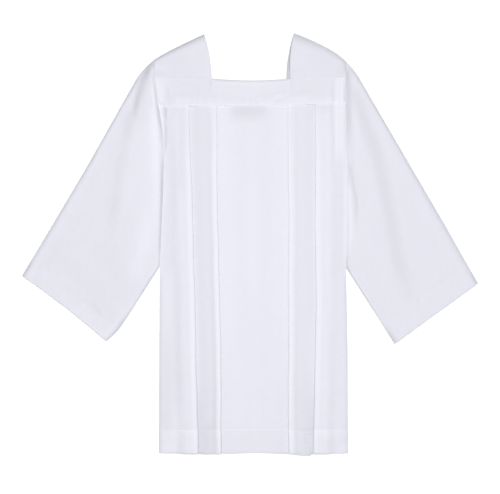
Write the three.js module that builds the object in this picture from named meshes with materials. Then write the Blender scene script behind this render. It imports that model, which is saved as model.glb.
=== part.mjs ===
// Square-neck surplice laid flat, face up: a white over-garment of light poly-cotton.
// Millimetres, +Z up, the hem towards -Y and the neck towards +Y. Left means the -X side, as one looks at
// the front.
// Every piece is a sewn cloth piece: a thin wall round a mid surface, which is given as rows of points.
// Sizes are first written in the garment's own lay (x from the middle of the neck and hem, y from the hem),
// and the finished garment is then centred on its bounding box, standing on z = 0.

import * as THREE from 'three';

// Cloth thickness and the clear space between plies and at seams
const clothWall = 1.1;
const hemWall = 1.5;
const yokeWall = 1.2;
const plyGap = 0.3;
const seamGap = 0.3;

// The body's turned hem, the run in which a wall comes back from its hem's thickness, and the longer run in
// which the front sinks back from the height of the back's hem
const hemDepth = 50;
const hemStep = 2;
const hemRelease = 64;

// The yoke: the front band laps the pleated panel, and its neck edge sags a little between the straps
const bandLap = 8;
const bandClear = 10;
const neckSeamHeight = 816;
const armholeSeamHeight = 820;
const frontNeckSag = 4.2;
const backNeckSag = 9;
const bandLow = 1.5 * yokeWall + plyGap;
const yokeSeam = { left: 754, middle: 757.5, right: 764 };

// Knife pleats: hidden depth, the run in which a ply climbs over the fold below it, the clear distance from
// a fold to the next bend, and the run in which the front eases down to the middle
const pleatDepth = 22;
const pleatLead = 14;
const foldMargin = 3;
const centreEase = 45;

// Bends of the drawn sections: shares of a climb, bends past a fold, bends of the ease, steps of the turns
const climbShares = [0, 0.35, 0.7, 1];
const comeDownShares = [0, 0.33, 0.67, 1];
const easeShares = [0, 0.33, 0.67, 1];
const nearMiddle = -8;
const turnSteps = 4;
const rollSteps = 6;
const backBandStops = 13;

// Side seams and armhole seams from the hem up to the shoulder
const sideEdges = [
  { y: 0, left: -201.5, right: 210.2 },
  { y: 224, left: -200.6, right: 209.6 },
  { y: 404, left: -199.7, right: 206.0 },
  { y: 450, left: -198.2, right: 207.6 },
  { y: 509, left: -195.4, right: 209.0 },
  { y: 600, left: -191.6, right: 209.6 },
  { y: 660, left: -189.8, right: 208.8 },
  { y: 706, left: -194.0, right: 207.4 },
  { y: 772, left: -204.4, right: 206.0 },
  { y: 820, left: -210.4, right: 205.4 },
  { y: 856, left: -214.0, right: 207.0 },
];

// Where each knife pleat's folded edge lies, and the radius to which the soft edge rolls
const pleatRows = [
  { y: 0, leftOuter: -115.4, leftInner: -66.0, rightInner: 82.0, rightOuter: 136.2, roll: 3.2 },
  { y: 89, leftOuter: -117.6, leftInner: -65.3, rightInner: 80.8, rightOuter: 137.5, roll: 2.6 },
  { y: 290, leftOuter: -122.0, leftInner: -67.8, rightInner: 81.5, rightOuter: 140.8, roll: 1.9 },
  { y: 509, leftOuter: -127.6, leftInner: -74.2, rightInner: 82.1, rightOuter: 139.4, roll: 1.5 },
  { y: 706, leftOuter: -135.4, leftInner: -75.8, rightInner: 80.2, rightOuter: 140.0, roll: 1.1 },
  { y: 770, leftOuter: -136.0, leftInner: -78.0, rightInner: 79.9, rightOuter: 142.4, roll: 0.9 },
];

// How far the strip between two pleats hangs below the hem at its outer and inner end, and the run in which
// it comes down beside the outer fold, so that none of it shows below that fold
const hemDrops = { left: { outer: 1.6, inner: 0.3 }, right: { outer: 5.6, inner: 0.7 } };
const hemDropLead = 8;
const hemDropFade = 200;

// Heights of the body's sections. Above the level where they fan out they follow the yoke seam's curve,
// and the last is the top edge.
const bodyHeights = [0, hemDepth, hemDepth + hemStep, 110, 224, 320, 404, 450, 509, 600, 660, 706, 740, 765];
const topHeight = bodyHeights[bodyHeights.length - 1];
const fanHeight = 706;

// Shoulders, sleeves and neck, side by side. Each control point bends one quadratic curve.
const sides = {
  left: {
    sign: -1,
    neckPoint: { x: -103.3, y: 913.2 },
    shoulderBend: { x: -196.8, y: 870.0 },
    shoulder: { x: -214.0, y: 855.5 },
    sleeveHeadBend: { x: -238.7, y: 836.2 },
    sleeveHeadEnd: { x: -254.3, y: 809.4 },
    overarmBend: { x: -360.4, y: 620.9 },
    cuffOuter: { x: -499.6, y: 387.0 },
    cuffHollow: 4.0,
    cuffInner: { x: -315.4, y: 243.8 },
    underarmBends: [{ x: -268.5, y: 298.9 }, { x: -286.5, y: 272.7 }, { x: -297.4, y: 260.2 }],
    armpit: { x: -199.6, y: 407.0 },
    cuffHem: 40,
    frontNeck: { bend: { x: -89.5, y: 868 }, corner: { x: -86.8, y: neckSeamHeight } },
    backNeck: { bend: { x: -92.5, y: 868 }, corner: { x: -90.6, y: neckSeamHeight } },
    trough: { fromShare: 0.12, toShare: 0.48, width: 19, depth: 1.7 },
    ridge: { height: 3.0, distance: 18, width: 12 },
  },
  right: {
    sign: 1,
    neckPoint: { x: 93.2, y: 915.4 },
    shoulderBend: { x: 181.0, y: 884.0 },
    shoulder: { x: 207.0, y: 852.6 },
    sleeveHeadBend: { x: 223.6, y: 837.1 },
    sleeveHeadEnd: { x: 236.1, y: 815.5 },
    overarmBend: { x: 421.4, y: 498.2 },
    cuffOuter: { x: 493.6, y: 370.2 },
    cuffHollow: 0.8,
    cuffInner: { x: 311.9, y: 238.2 },
    underarmBends: [],
    armpit: { x: 206.0, y: 404.0 },
    cuffHem: 47,
    frontNeck: { bend: { x: 81.5, y: 874 }, corner: { x: 84.2, y: neckSeamHeight } },
    backNeck: { bend: { x: 77.0, y: 868 }, corner: { x: 76.0, y: neckSeamHeight } },
    trough: { fromShare: 0.14, toShare: 0.62, width: 21, depth: 1.9 },
    ridge: { height: 2.6, distance: 20, width: 12 },
  },
};

const clothMaterial = new THREE.MeshStandardMaterial({ color: 0xe8e9f2, roughness: 0.85, metalness: 0 });

function lerp(a, b, share) {
  return a + (b - a) * share;
}

function mixPoints(a, b, share) {
  return { x: lerp(a.x, b.x, share), y: lerp(a.y, b.y, share) };
}

function smooth(from, to, value) {
  const share = Math.min(1, Math.max(0, (value - from) / (to - from)));
  return share * share * (3 - 2 * share);
}

function columnAt(rows, column, y) {
  const above = rows.findIndex((row) => row.y >= y);
  if (above <= 0) return rows[above < 0 ? rows.length - 1 : 0][column];
  const [low, high] = [rows[above - 1], rows[above]];
  return lerp(low[column], high[column], (y - low.y) / (high.y - low.y));
}

function bendAt(start, control, end, share) {
  return mixPoints(mixPoints(start, control, share), mixPoints(control, end, share), share);
}

// Walls: rows of mid points become one closed body. Each row's wall stands off its points square to the row.
// Rows whose ends meet another piece have upright end faces, so that the seam keeps its gap.
function wallGeometry(rows, { ring = false, uprightEnds = false } = {}) {
  const sidesOfWall = { outer: [], inner: [] };
  for (const { points, wall } of rows) {
    const last = points.length - 1;
    const chordEnd = ring ? points[Math.floor(points.length / 2)] : points[last];
    const across = new THREE.Vector3().subVectors(chordEnd, points[0]).setZ(0).normalize();
    const along = new THREE.Vector3(-across.y, across.x, 0);
    const outer = [];
    const inner = [];
    points.forEach((point, i) => {
      const before = ring ? points[(i + last) % points.length] : points[Math.max(0, i - 1)];
      const after = ring ? points[(i + 1) % points.length] : points[Math.min(last, i + 1)];
      const isEnd = !ring && (i === 0 || i === last);
      const normal = isEnd && uprightEnds
        ? new THREE.Vector3(0, 0, Math.sign(across.x) || 1)
        : new THREE.Vector3().subVectors(after, before).cross(along).normalize();
      outer.push(point.clone().addScaledVector(normal, wall / 2));
      inner.push(point.clone().addScaledVector(normal, -wall / 2));
    });
    sidesOfWall.outer.push(outer);
    sidesOfWall.inner.push(inner);
  }
  const columns = rows[0].points.length;
  const spans = ring ? columns : columns - 1;
  const positions = [...sidesOfWall.outer.flat(), ...sidesOfWall.inner.flat()].flatMap((p) => p.toArray());
  const outerAt = (row, column) => row * columns + (column % columns);
  const innerAt = (row, column) => rows.length * columns + outerAt(row, column);
  const index = [];
  const quad = (a, b, c, d) => index.push(a, b, c, a, c, d);
  for (let r = 0; r < rows.length - 1; r += 1) {
    for (let c = 0; c < spans; c += 1) {
      quad(outerAt(r, c), outerAt(r, c + 1), outerAt(r + 1, c + 1), outerAt(r + 1, c));
      quad(innerAt(r, c), innerAt(r + 1, c), innerAt(r + 1, c + 1), innerAt(r, c + 1));
    }
    if (!ring) {
      quad(outerAt(r, 0), outerAt(r + 1, 0), innerAt(r + 1, 0), innerAt(r, 0));
      quad(outerAt(r, spans), innerAt(r, spans), innerAt(r + 1, spans), outerAt(r + 1, spans));
    }
  }
  const top = rows.length - 1;
  for (let c = 0; c < spans; c += 1) {
    quad(outerAt(0, c), innerAt(0, c), innerAt(0, c + 1), outerAt(0, c + 1));
    quad(outerAt(top, c), outerAt(top, c + 1), innerAt(top, c + 1), innerAt(top, c));
  }
  if (signedVolume(positions, index) < 0) index.reverse();
  const geometry = new THREE.BufferGeometry();
  geometry.setAttribute('position', new THREE.Float32BufferAttribute(positions, 3));
  geometry.setIndex(index);
  geometry.computeVertexNormals();
  return geometry;
}

function signedVolume(positions, index) {
  const corner = (i) => new THREE.Vector3().fromArray(positions, index[i] * 3);
  let volume = 0;
  for (let i = 0; i < index.length; i += 3) {
    volume += corner(i).dot(corner(i + 1).cross(corner(i + 2))) / 6;
  }
  return volume;
}

// Body: one half of a section across the body, from the side seam to the middle. u is 0 in the middle and
// negative towards the side seam, so that both halves read alike. Each half has an outer and an inner pleat.
function halfSection(side, y, edgeHeight = y) {
  const { sign } = sides[side];
  return {
    edge: sign * -columnAt(sideEdges, side, edgeHeight) + seamGap / 2,
    folds: [`${side}Outer`, `${side}Inner`].map((column) => sign * -columnAt(pleatRows, column, y)),
    wall: bodyWall(y, hemStep),
    ply: bodyWall(y, hemStep) + plyGap,
    backPly: bodyWall(y, hemRelease) + plyGap,
    roll: columnAt(pleatRows, 'roll', y),
  };
}

function bodyWall(y, run) {
  return lerp(hemWall, clothWall, smooth(hemDepth, hemDepth + run, y));
}

// The front lies low at the side seams and in the middle, and rides over the back's pleats between them
function frontBase(half, u) {
  const [outerFold, innerFold] = half.folds;
  const climbed = outerFold - pleatDepth - half.backPly - foldMargin;
  const eased = innerFold + pleatLead + foldMargin;
  const hump = smooth(half.edge + foldMargin, climbed, u) * (1 - smooth(eased, eased + centreEase, u));
  return half.wall / 2 + half.backPly + 2 * half.backPly * hump;
}

// A ply climbs over the fold from climbStart to climbEnd, and rolls at the fold's edge
function climbOf(half, fold) {
  return { climbStart: fold - pleatDepth - pleatLead, climbEnd: fold - pleatDepth - half.ply };
}

function easeStops(half) {
  const easeStart = half.folds[1] + pleatLead;
  return [...easeShares.map((share) => easeStart + share * centreEase), nearMiddle];
}

function arcPoints(centre, radius, fromDegrees, toDegrees, steps) {
  return Array.from({ length: steps + 1 }, (_, i) => {
    const angle = THREE.MathUtils.degToRad(lerp(fromDegrees, toDegrees, i / steps));
    return { u: centre.u + radius * Math.cos(angle), z: centre.z + radius * Math.sin(angle) };
  });
}

// Front pleat: the ply above climbs to a soft roll at the fold, turns under, runs back and turns again
function frontHalfPath(half) {
  const { ply } = half;
  const base = (u) => frontBase(half, u);
  const radius = Math.max(half.roll, ply / 2);
  const path = [];
  let start = half.edge;
  half.folds.forEach((fold, strip) => {
    const { climbStart, climbEnd } = climbOf(half, fold);
    const rollStart = fold - radius;
    const rise = (u) => 2 * ply * smooth(climbStart, climbEnd, u)
      + (2 * radius - ply) * smooth(climbEnd, rollStart, u);
    const climb = climbShares.map((share) => lerp(climbStart, climbEnd, share));
    const swell = climbShares.slice(1, -1).map((share) => lerp(climbEnd, rollStart, share));
    [start, lerp(start, climbStart, 0.5), ...climb, ...swell]
      .forEach((u) => path.push({ u, z: base(u) + rise(u), strip }));
    const rollCentre = { u: rollStart, z: base(rollStart) + ply + radius };
    arcPoints(rollCentre, radius, 90, -90, rollSteps)
      .forEach((p) => path.push({ ...p, strip: strip + 0.5 }));
    const turn = fold - pleatDepth;
    arcPoints({ u: turn, z: base(turn) + ply / 2 }, ply / 2, 90, 270, turnSteps)
      .forEach((p) => path.push({ ...p, strip: strip + 1 }));
    start = lerp(turn, fold, 0.5);
  });
  [start, half.folds[1], ...easeStops(half)].forEach((u) => path.push({ u, z: base(u), strip: 2 }));
  return path;
}

// Back pleat: the outside lies flat on the floor, so the hidden plies stack upwards
function backHalfPath(half) {
  const { ply } = half;
  const floorPly = half.wall / 2;
  const path = [{ u: half.edge, z: floorPly }];
  half.folds.forEach((fold) => {
    const turn = fold - pleatDepth;
    const foldCentre = { u: fold - ply / 2, z: floorPly + ply / 2 };
    const turnCentre = { u: turn, z: floorPly + 1.5 * ply };
    path.push(...arcPoints(foldCentre, ply / 2, -90, 90, turnSteps));
    path.push(...arcPoints(turnCentre, ply / 2, 270, 90, turnSteps));
    const from = fold + ply / 2;
    const to = fold + pleatLead - ply;
    comeDownShares.forEach((share) => {
      const u = lerp(from, to, share);
      path.push({ u, z: floorPly + 2 * ply * (1 - smooth(from, to, u)) });
    });
  });
  path.push({ u: nearMiddle, z: floorPly });
  return path;
}

// The strips between the pleats hang a little lower than the rest of the hem
function hemDropAt(side, half, point, y) {
  if (point.strip === undefined) return 0;
  const { outer, inner } = hemDrops[side];
  const [outerFold, innerFold] = half.folds;
  const onStrip = Math.max(0, 1 - Math.abs(point.strip - 1)) * smooth(outerFold, outerFold + hemDropLead, point.u);
  const share = smooth(outerFold, innerFold, point.u);
  return onStrip * lerp(outer, inner, share) * (1 - smooth(0, hemDropFade, y));
}

function bodySection(y, topAt, halfPath) {
  const points = [];
  const fanned = Math.max(0, (y - fanHeight) / (topHeight - fanHeight));
  const heightAt = (x) => lerp(y, topAt(x), fanned);
  for (const side of ['left', 'right']) {
    const half = halfSection(side, y, heightAt(columnAt(sideEdges, side, y)));
    const placed = halfPath(half).map((point) => {
      const x = -sides[side].sign * point.u;
      return new THREE.Vector3(x, heightAt(x) - hemDropAt(side, half, point, y), point.z);
    });
    points.push(...(side === 'left' ? placed : placed.reverse()));
  }
  return { points, wall: bodyWall(y, hemStep) };
}

// The lower edge of the yoke, and the panels' top edges beside or under it
function yokeSeamAt(x) {
  const share = Math.min(1, Math.abs(x) / columnAt(sideEdges, 'right', neckSeamHeight));
  return lerp(yokeSeam.middle, x < 0 ? yokeSeam.left : yokeSeam.right, share * share);
}

function frontPanel() {
  const topAt = (x) => yokeSeamAt(x) + bandLap;
  const rows = bodyHeights.map((y) => bodySection(y, topAt, frontHalfPath));
  return wallGeometry(rows, { uprightEnds: true });
}

function backPanel() {
  const topAt = (x) => yokeSeamAt(x) - seamGap;
  const rows = bodyHeights.map((y) => bodySection(y, topAt, backHalfPath));
  return wallGeometry(rows, { uprightEnds: true });
}

// Yoke bands: the upper edge is the neck edge between the straps, and their seam outside them
function bandTopAt(x, leaf, sag) {
  const side = x < 0 ? 'left' : 'right';
  const corner = Math.abs(sides[side][leaf].corner.x);
  const reach = Math.abs(x);
  if (reach < corner) return neckSeamHeight - sag * (1 - (reach / corner) ** 2);
  const armhole = Math.abs(columnAt(sideEdges, side, armholeSeamHeight));
  return lerp(neckSeamHeight, armholeSeamHeight, (reach - corner) / (armhole - corner)) - seamGap / 2;
}

// The band crosses the pleats at the panel's own bends, and comes down past each fold
function bandStops(half) {
  const overFolds = half.folds.flatMap((fold) => {
    const { climbStart, climbEnd } = climbOf(half, fold);
    const climb = climbShares.map((share) => lerp(climbStart, climbEnd, share));
    const comeDown = comeDownShares.map((share) => fold + foldMargin + share * pleatLead);
    return [...climb, fold - half.roll, ...comeDown];
  });
  return [half.edge, lerp(half.edge, overFolds[0], 0.5), ...overFolds, ...easeStops(half).slice(1)];
}

// The front band rests on the top of the pleated panel: its points are the panel's, moved out
function bandRestAt(half, u) {
  const stackHeight = half.ply + Math.max(2 * half.roll, half.ply);
  const stacked = half.folds.map((fold) => {
    const { climbStart, climbEnd } = climbOf(half, fold);
    const past = fold + foldMargin;
    return smooth(climbStart, climbEnd, u) * (1 - smooth(past, past + pleatLead, u));
  });
  const rise = stackHeight * Math.max(...stacked);
  return frontBase(half, u) + half.wall / 2 + rise + seamGap + yokeWall / 2;
}

// A band is drawn across the body at each share of its height. u counts from the middle, as on the panels.
function bandRows(shares, leaf, sag, stopsOf, heightAt) {
  const halves = { left: halfSection('left', yokeSeam.left), right: halfSection('right', yokeSeam.right) };
  return shares.map((share) => {
    const halfPoints = (side) => stopsOf(halves[side]).map((u) => {
      const level = lerp(yokeSeam[side], armholeSeamHeight, share);
      const edge = columnAt(sideEdges, side, level) - sides[side].sign * seamGap / 2;
      const seamX = -sides[side].sign * u;
      const x = u * (edge / halves[side].edge);
      const y = lerp(yokeSeamAt(seamX), bandTopAt(x, leaf, sag), share);
      return new THREE.Vector3(x, y, heightAt(halves[side], u, y, yokeSeamAt(seamX)));
    });
    return { points: [...halfPoints('left'), ...halfPoints('right').reverse()], wall: yokeWall };
  });
}

function frontYokeBand() {
  const heightAt = (half, u, y, seam) => {
    const lowered = smooth(seam + bandClear, neckSeamHeight - frontNeckSag, y);
    return lerp(bandRestAt(half, u), bandLow, lowered);
  };
  const rows = bandRows([0, 0.18, 0.4, 0.6, 0.8, 1], 'frontNeck', frontNeckSag, bandStops, heightAt);
  return wallGeometry(rows, { uprightEnds: true });
}

function backYokeBand() {
  const shares = Array.from({ length: backBandStops }, (_, i) => i / (backBandStops - 1));
  const evenStops = (half) => shares.map((share) => lerp(half.edge, nearMiddle, share));
  const rows = bandRows([0, 0.5, 1], 'backNeck', backNeckSag, evenStops, () => yokeWall / 2);
  return wallGeometry(rows, { uprightEnds: true });
}

// Shoulder straps: one piece each, folded over the shoulder, with a front leaf and a back leaf
const strapColumns = 7;
const strapSteps = 5;

function strapPoint(side, leaf, alongShare, downShare) {
  const { neckPoint, shoulderBend, shoulder, sign } = sides[side];
  const { bend, corner } = sides[side][leaf];
  const seamRise = seamGap / 2;
  const neckEnd = { x: corner.x, y: corner.y + seamRise };
  const armholeY = lerp(shoulder.y, armholeSeamHeight + seamRise, downShare);
  const inset = -sign * seamGap / 2;
  const shoulderEnd = { x: columnAt(sideEdges, side, shoulder.y) + inset, y: shoulder.y };
  const seamEdge = columnAt(sideEdges, side, armholeSeamHeight);
  const armholeEnd = { x: seamEdge + inset, y: armholeSeamHeight + seamRise };
  const top = bendAt(neckPoint, shoulderBend, shoulderEnd, alongShare);
  const bottom = mixPoints(neckEnd, armholeEnd, alongShare);
  const neck = bendAt(neckPoint, bend, neckEnd, downShare);
  const armhole = { x: columnAt(sideEdges, side, armholeY) + inset, y: armholeY };
  const corners = mixPoints(mixPoints(neckPoint, shoulderEnd, alongShare), bottom, downShare);
  const between = mixPoints(top, bottom, downShare);
  const across = mixPoints(neck, armhole, alongShare);
  return { x: between.x + across.x - corners.x, y: between.y + across.y - corners.y };
}

function shoulderStrap(side) {
  const foldRadius = (yokeWall + plyGap) / 2;
  const foldReach = foldRadius + yokeWall / 2;
  const rows = [];
  for (let i = 0; i <= strapColumns; i += 1) {
    const alongShare = i / strapColumns;
    const points = [];
    const leafPoint = (leaf, step, z) => {
      const p = strapPoint(side, leaf, alongShare, step / strapSteps);
      return new THREE.Vector3(p.x, p.y - foldReach * (1 - step / strapSteps), z);
    };
    for (let step = strapSteps; step >= 0; step -= 1) points.push(leafPoint('frontNeck', step, bandLow));
    const fold = leafPoint('frontNeck', 0, bandLow - foldRadius);
    for (const degrees of [45, 0, -45]) {
      const angle = THREE.MathUtils.degToRad(degrees);
      points.push(new THREE.Vector3(fold.x, fold.y + foldRadius * Math.cos(angle),
        fold.z + foldRadius * Math.sin(angle)));
    }
    for (let step = 0; step <= strapSteps; step += 1) points.push(leafPoint('backNeck', step, yokeWall / 2));
    rows.push({ points, wall: yokeWall });
  }
  return wallGeometry(rows);
}

// Sleeves: straight wide tubes laid flat, folded along the overarm and seamed under the arm.
// Rows run from the armhole to the cuff: close together beside the armhole, where a ridge stands, then spread
// over the sleeve at shares of its length, and last the two edges of the cuff's hem.
const nearRows = [0, 8, 17, 28, 44];
const sleeveShares = [0.14, 0.3, 0.48, 0.66, 0.84, 1];
const sleevePuff = 2.1;
const sleeveEdgeEase = 26;
const armholeEase = 16;

function sleeveStops(length, hem) {
  const nearEnd = nearRows[nearRows.length - 1];
  const spread = sleeveShares.map((share) => lerp(nearEnd, length - hem, share));
  return [...nearRows, ...spread, length - hem + hemStep, length];
}

function distanceBetween(a, b) {
  return Math.hypot(b.x - a.x, b.y - a.y);
}

function overarmCurve(side) {
  const { shoulder, sleeveHeadBend, sleeveHeadEnd, overarmBend, cuffOuter } = sides[side];
  const vector = (p) => new THREE.Vector2(p.x, p.y);
  const curve = new THREE.CurvePath();
  curve.add(new THREE.QuadraticBezierCurve(vector(shoulder), vector(sleeveHeadBend), vector(sleeveHeadEnd)));
  curve.add(new THREE.LineCurve(vector(sleeveHeadEnd), vector(overarmBend)));
  curve.add(new THREE.LineCurve(vector(overarmBend), vector(cuffOuter)));
  return curve;
}

// The underarm seam's line. The left one flares towards its cuff.
function underarmCurve(side) {
  const { armpit, underarmBends, cuffInner } = sides[side];
  const stops = [armpit, ...underarmBends, cuffInner].map((p) => new THREE.Vector2(p.x, p.y));
  const curve = new THREE.CurvePath();
  stops.slice(1).forEach((stop, i) => curve.add(new THREE.LineCurve(stops[i], stop)));
  return curve;
}

// The sleeve's columns sit at the bends of the armhole seam and midway between them
function armholeShares(side) {
  const { shoulder, armpit } = sides[side];
  const bends = sideEdges.map((row) => row.y).filter((y) => y > armpit.y + 5 && y < shoulder.y - 5).reverse();
  const stops = [shoulder.y, ...bends, armpit.y];
  const heights = stops.flatMap((y, i) => (i ? [lerp(stops[i - 1], y, 0.5), y] : [y]));
  return heights.map((y) => (shoulder.y - y) / (shoulder.y - armpit.y));
}

function sleeve(side) {
  const { sign, shoulder, armpit, cuffOuter, cuffHem, cuffHollow, trough, ridge } = sides[side];
  const sleeveLength = distanceBetween(shoulder, cuffOuter);
  const upArm = { x: (shoulder.x - cuffOuter.x) / sleeveLength, y: (shoulder.y - cuffOuter.y) / sleeveLength };
  const overarm = overarmCurve(side);
  const overarmLength = overarm.getLength();
  const underarm = underarmCurve(side);
  const underarmLength = underarm.getLength();
  const overarmStops = sleeveStops(overarmLength, cuffHem);
  const underarmStops = sleeveStops(underarmLength, cuffHem);
  const shares = armholeShares(side);
  const rows = overarmStops.map((overarmStop, row) => {
    const rowShare = overarmStop / overarmLength;
    const top = overarm.getPointAt(rowShare);
    const bottom = underarm.getPoint(underarmStops[row] / underarmLength);
    const width = distanceBetween(top, bottom);
    const inHem = row >= overarmStops.length - 2;
    const wall = inHem ? hemWall : clothWall;
    const ply = wall + plyGap;
    const foldReach = ply / 2 + wall / 2;
    const down = { x: (bottom.x - top.x) / width, y: (bottom.y - top.y) / width };
    const planAt = (v) => {
      const inset = foldReach * (1 - 2 * v);
      const level = lerp(shoulder.y, armpit.y, v) - inset;
      const armhole = columnAt(sideEdges, side, level) + sign * seamGap / 2;
      const straight = lerp(shoulder.x, armpit.x, v);
      const onLine = mixPoints(top, bottom, v);
      const hollow = cuffHollow * 4 * v * (1 - v) * smooth(0.7, 1, rowShare);
      return {
        x: onLine.x + (armhole - straight) * (1 - rowShare) + down.x * inset + upArm.x * hollow,
        y: onLine.y + down.y * inset + upArm.y * hollow,
      };
    };
    const liftAt = (v) => {
      const fromEdge = Math.min(v, 1 - v) * width;
      const distance = lerp(overarmStop, underarmStops[row], v);
      const ridgeHeight = ridge.height * Math.exp(-(((distance - ridge.distance) / ridge.width) ** 2))
        * smooth(0.06, 0.3, v);
      const troughMiddle = lerp(trough.fromShare, trough.toShare, rowShare);
      const troughDepth = trough.depth * Math.exp(-((((v - troughMiddle) * width) / trough.width) ** 2));
      return smooth(0, armholeEase, distance) * smooth(0, sleeveEdgeEase, fromEdge)
        * (sleevePuff + ridgeHeight - troughDepth);
    };
    const place = (plan, z) => new THREE.Vector3(plan.x, plan.y, z);
    const foldPoints = (v, outward, degreesList) => degreesList.map((degrees) => {
      const angle = THREE.MathUtils.degToRad(degrees);
      const plan = planAt(v);
      const reach = outward * (ply / 2) * Math.cos(angle);
      return place({ x: plan.x + down.x * reach, y: plan.y + down.y * reach },
        wall / 2 + ply / 2 + (ply / 2) * Math.sin(angle));
    });
    const lowerLeaf = shares.filter((_, i) => i % 2 === 0).map((v) => place(planAt(v), wall / 2));
    const upperLeaf = shares.map((v) => place(planAt(v), wall / 2 + ply + liftAt(v))).reverse();
    const points = [...lowerLeaf, ...foldPoints(1, 1, [-45, 0, 45]), ...upperLeaf,
      ...foldPoints(0, -1, [45, 0, -45])];
    return { points, wall };
  });
  return wallGeometry(rows, { ring: true });
}

const pieces = {
  back_panel: backPanel(),
  back_yoke_band: backYokeBand(),
  front_panel: frontPanel(),
  front_yoke_band: frontYokeBand(),
  left_shoulder_strap: shoulderStrap('left'),
  right_shoulder_strap: shoulderStrap('right'),
  left_sleeve: sleeve('left'),
  right_sleeve: sleeve('right'),
};

const garment = new THREE.Group();
for (const [name, geometry] of Object.entries(pieces)) {
  const mesh = new THREE.Mesh(geometry, clothMaterial.clone());
  mesh.name = name;
  garment.add(mesh);
}

// The row's origin is the middle of the underside's bounding box
const bounds = new THREE.Box3().setFromObject(garment);
const middle = bounds.getCenter(new THREE.Vector3());
garment.position.set(-middle.x, -middle.y, -bounds.min.z);

const surplice = new THREE.Group();
surplice.add(garment);

export default surplice;
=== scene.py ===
"""A square-neck surplice of light white poly-cotton, laid flat, face up, on a pale surface.

Sizes are in millimetres on the garment as it lies: x from the middle of the neck, y up from the hem and z up
from the surface. Left is the side of negative x, as one looks at the front.
"""

import math
from types import SimpleNamespace

import bpy
import numpy as np
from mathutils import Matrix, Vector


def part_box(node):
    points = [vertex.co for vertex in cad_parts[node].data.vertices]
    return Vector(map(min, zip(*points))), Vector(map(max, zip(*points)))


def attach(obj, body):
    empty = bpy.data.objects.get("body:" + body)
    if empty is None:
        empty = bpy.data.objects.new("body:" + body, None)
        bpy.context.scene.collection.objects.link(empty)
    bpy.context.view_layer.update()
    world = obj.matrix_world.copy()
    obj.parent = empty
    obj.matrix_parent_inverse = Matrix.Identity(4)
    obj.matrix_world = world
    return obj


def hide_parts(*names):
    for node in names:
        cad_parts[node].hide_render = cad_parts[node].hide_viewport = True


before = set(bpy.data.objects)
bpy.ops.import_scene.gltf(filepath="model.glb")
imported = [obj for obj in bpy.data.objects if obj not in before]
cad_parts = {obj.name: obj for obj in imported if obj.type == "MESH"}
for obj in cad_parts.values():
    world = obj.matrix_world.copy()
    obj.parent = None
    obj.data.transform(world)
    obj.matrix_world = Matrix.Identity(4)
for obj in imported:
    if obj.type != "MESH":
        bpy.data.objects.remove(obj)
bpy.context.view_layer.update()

# The front panel
# One length of white poly-cotton, laid in four knife pleats that face the middle and pressed at the top. The
# folds open into soft rolls towards the hem, which is turned up once and stitched.

millimetre = 0.001
left_cuff_reach = -499.6
hem_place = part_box("back_panel")[0].y
middle_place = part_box("left_sleeve")[0].x - left_cuff_reach * millimetre

# Thickness of one layer and of a turned hem, and the height that each takes up as it lies
cloth = 0.45
turned_cloth = 0.85
layer_room = 1.1
turned_room = 1.5
layer_gap = 0.3

hem_depth = 50
hem_step = 2
hem_release = 64
pleat_depth = 22
pleat_lead = 14
fold_margin = 3
centre_ease = 45
middle_gap = 2.4
top_height = 765
fan_height = 706
band_lap = 8


def table(columns, *rows):
    """Rows of sizes under named columns."""
    return [dict(zip(columns.split(), row)) for row in rows]


# Side seams and armhole seams from the hem up to the shoulder
side_seams = table(
    "y left right",
    (0, -201.5, 210.2),
    (224, -200.6, 209.6),
    (404, -199.7, 206.0),
    (450, -198.2, 207.6),
    (509, -195.4, 209.0),
    (600, -191.6, 209.6),
    (660, -189.8, 208.8),
    (706, -194.0, 207.4),
    (772, -204.4, 206.0),
    (820, -210.4, 205.4),
    (856, -214.0, 207.0),
)

# Where each knife pleat's folded edge lies
pleat_rows = table(
    "y left_outer left_inner right_inner right_outer",
    (0, -115.4, -66.0, 81.4, 134.6),
    (89, -117.6, -65.3, 80.4, 136.0),
    (290, -122.0, -67.8, 81.5, 140.8),
    (509, -127.6, -74.2, 82.1, 139.4),
    (706, -135.4, -75.8, 80.2, 140.0),
    (770, -136.0, -78.0, 79.9, 142.4),
)

# Half the height of each soft roll, and how far back from the folded edge its crest lies
roll_rows = table(
    "y roll outer_reach inner_reach",
    (0, 3.0, 7.5, 4),
    (89, 2.4, 8.5, 5.5),
    (290, 1.9, 9.5, 6),
    (509, 1.5, 9, 6),
    (706, 1.1, 7, 5.5),
    (770, 0.8, 7, 5.5),
)
roll_shares = {"left": [1.0, 0.85], "right": [1.0, 0.6]}
outer_climb = 48
swell_reach = 11
beside_folds = {"left": 0.5, "right": 1.3}

# Height of the cloth at the side seams and, further up, at the armhole seams
seam_levels = table(
    "y left right",
    (0, 0.7, 0.7),
    (380, 0.7, 0.7),
    (440, 2.4, 4.2),
    (540, 2.8, 5.2),
    (620, 3.2, 4.6),
    (700, 4.4, 2.8),
    (770, 7.0, 2.2),
    (820, 5.4, 2.0),
    (856, 2.2, 1.6),
)
seam_turn = 11
seam_ease = 18
side_swell = 2.7
hem_turn = 9
hem_turn_drop = 1.2
hem_rest = 0.7
stitch_groove = 0.14

# How far the strip between two pleats hangs below the hem at its outer and inner end
hem_drops = {"left": {"outer": 1.6, "inner": 0.3}, "right": {"outer": 5.6, "inner": 0.7}}
hem_drop_lead = 8
hem_drop_fade = 200
yoke_seam = {"left": 754, "middle": 757.5, "right": 764}
neck_seam_height = 816

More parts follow.
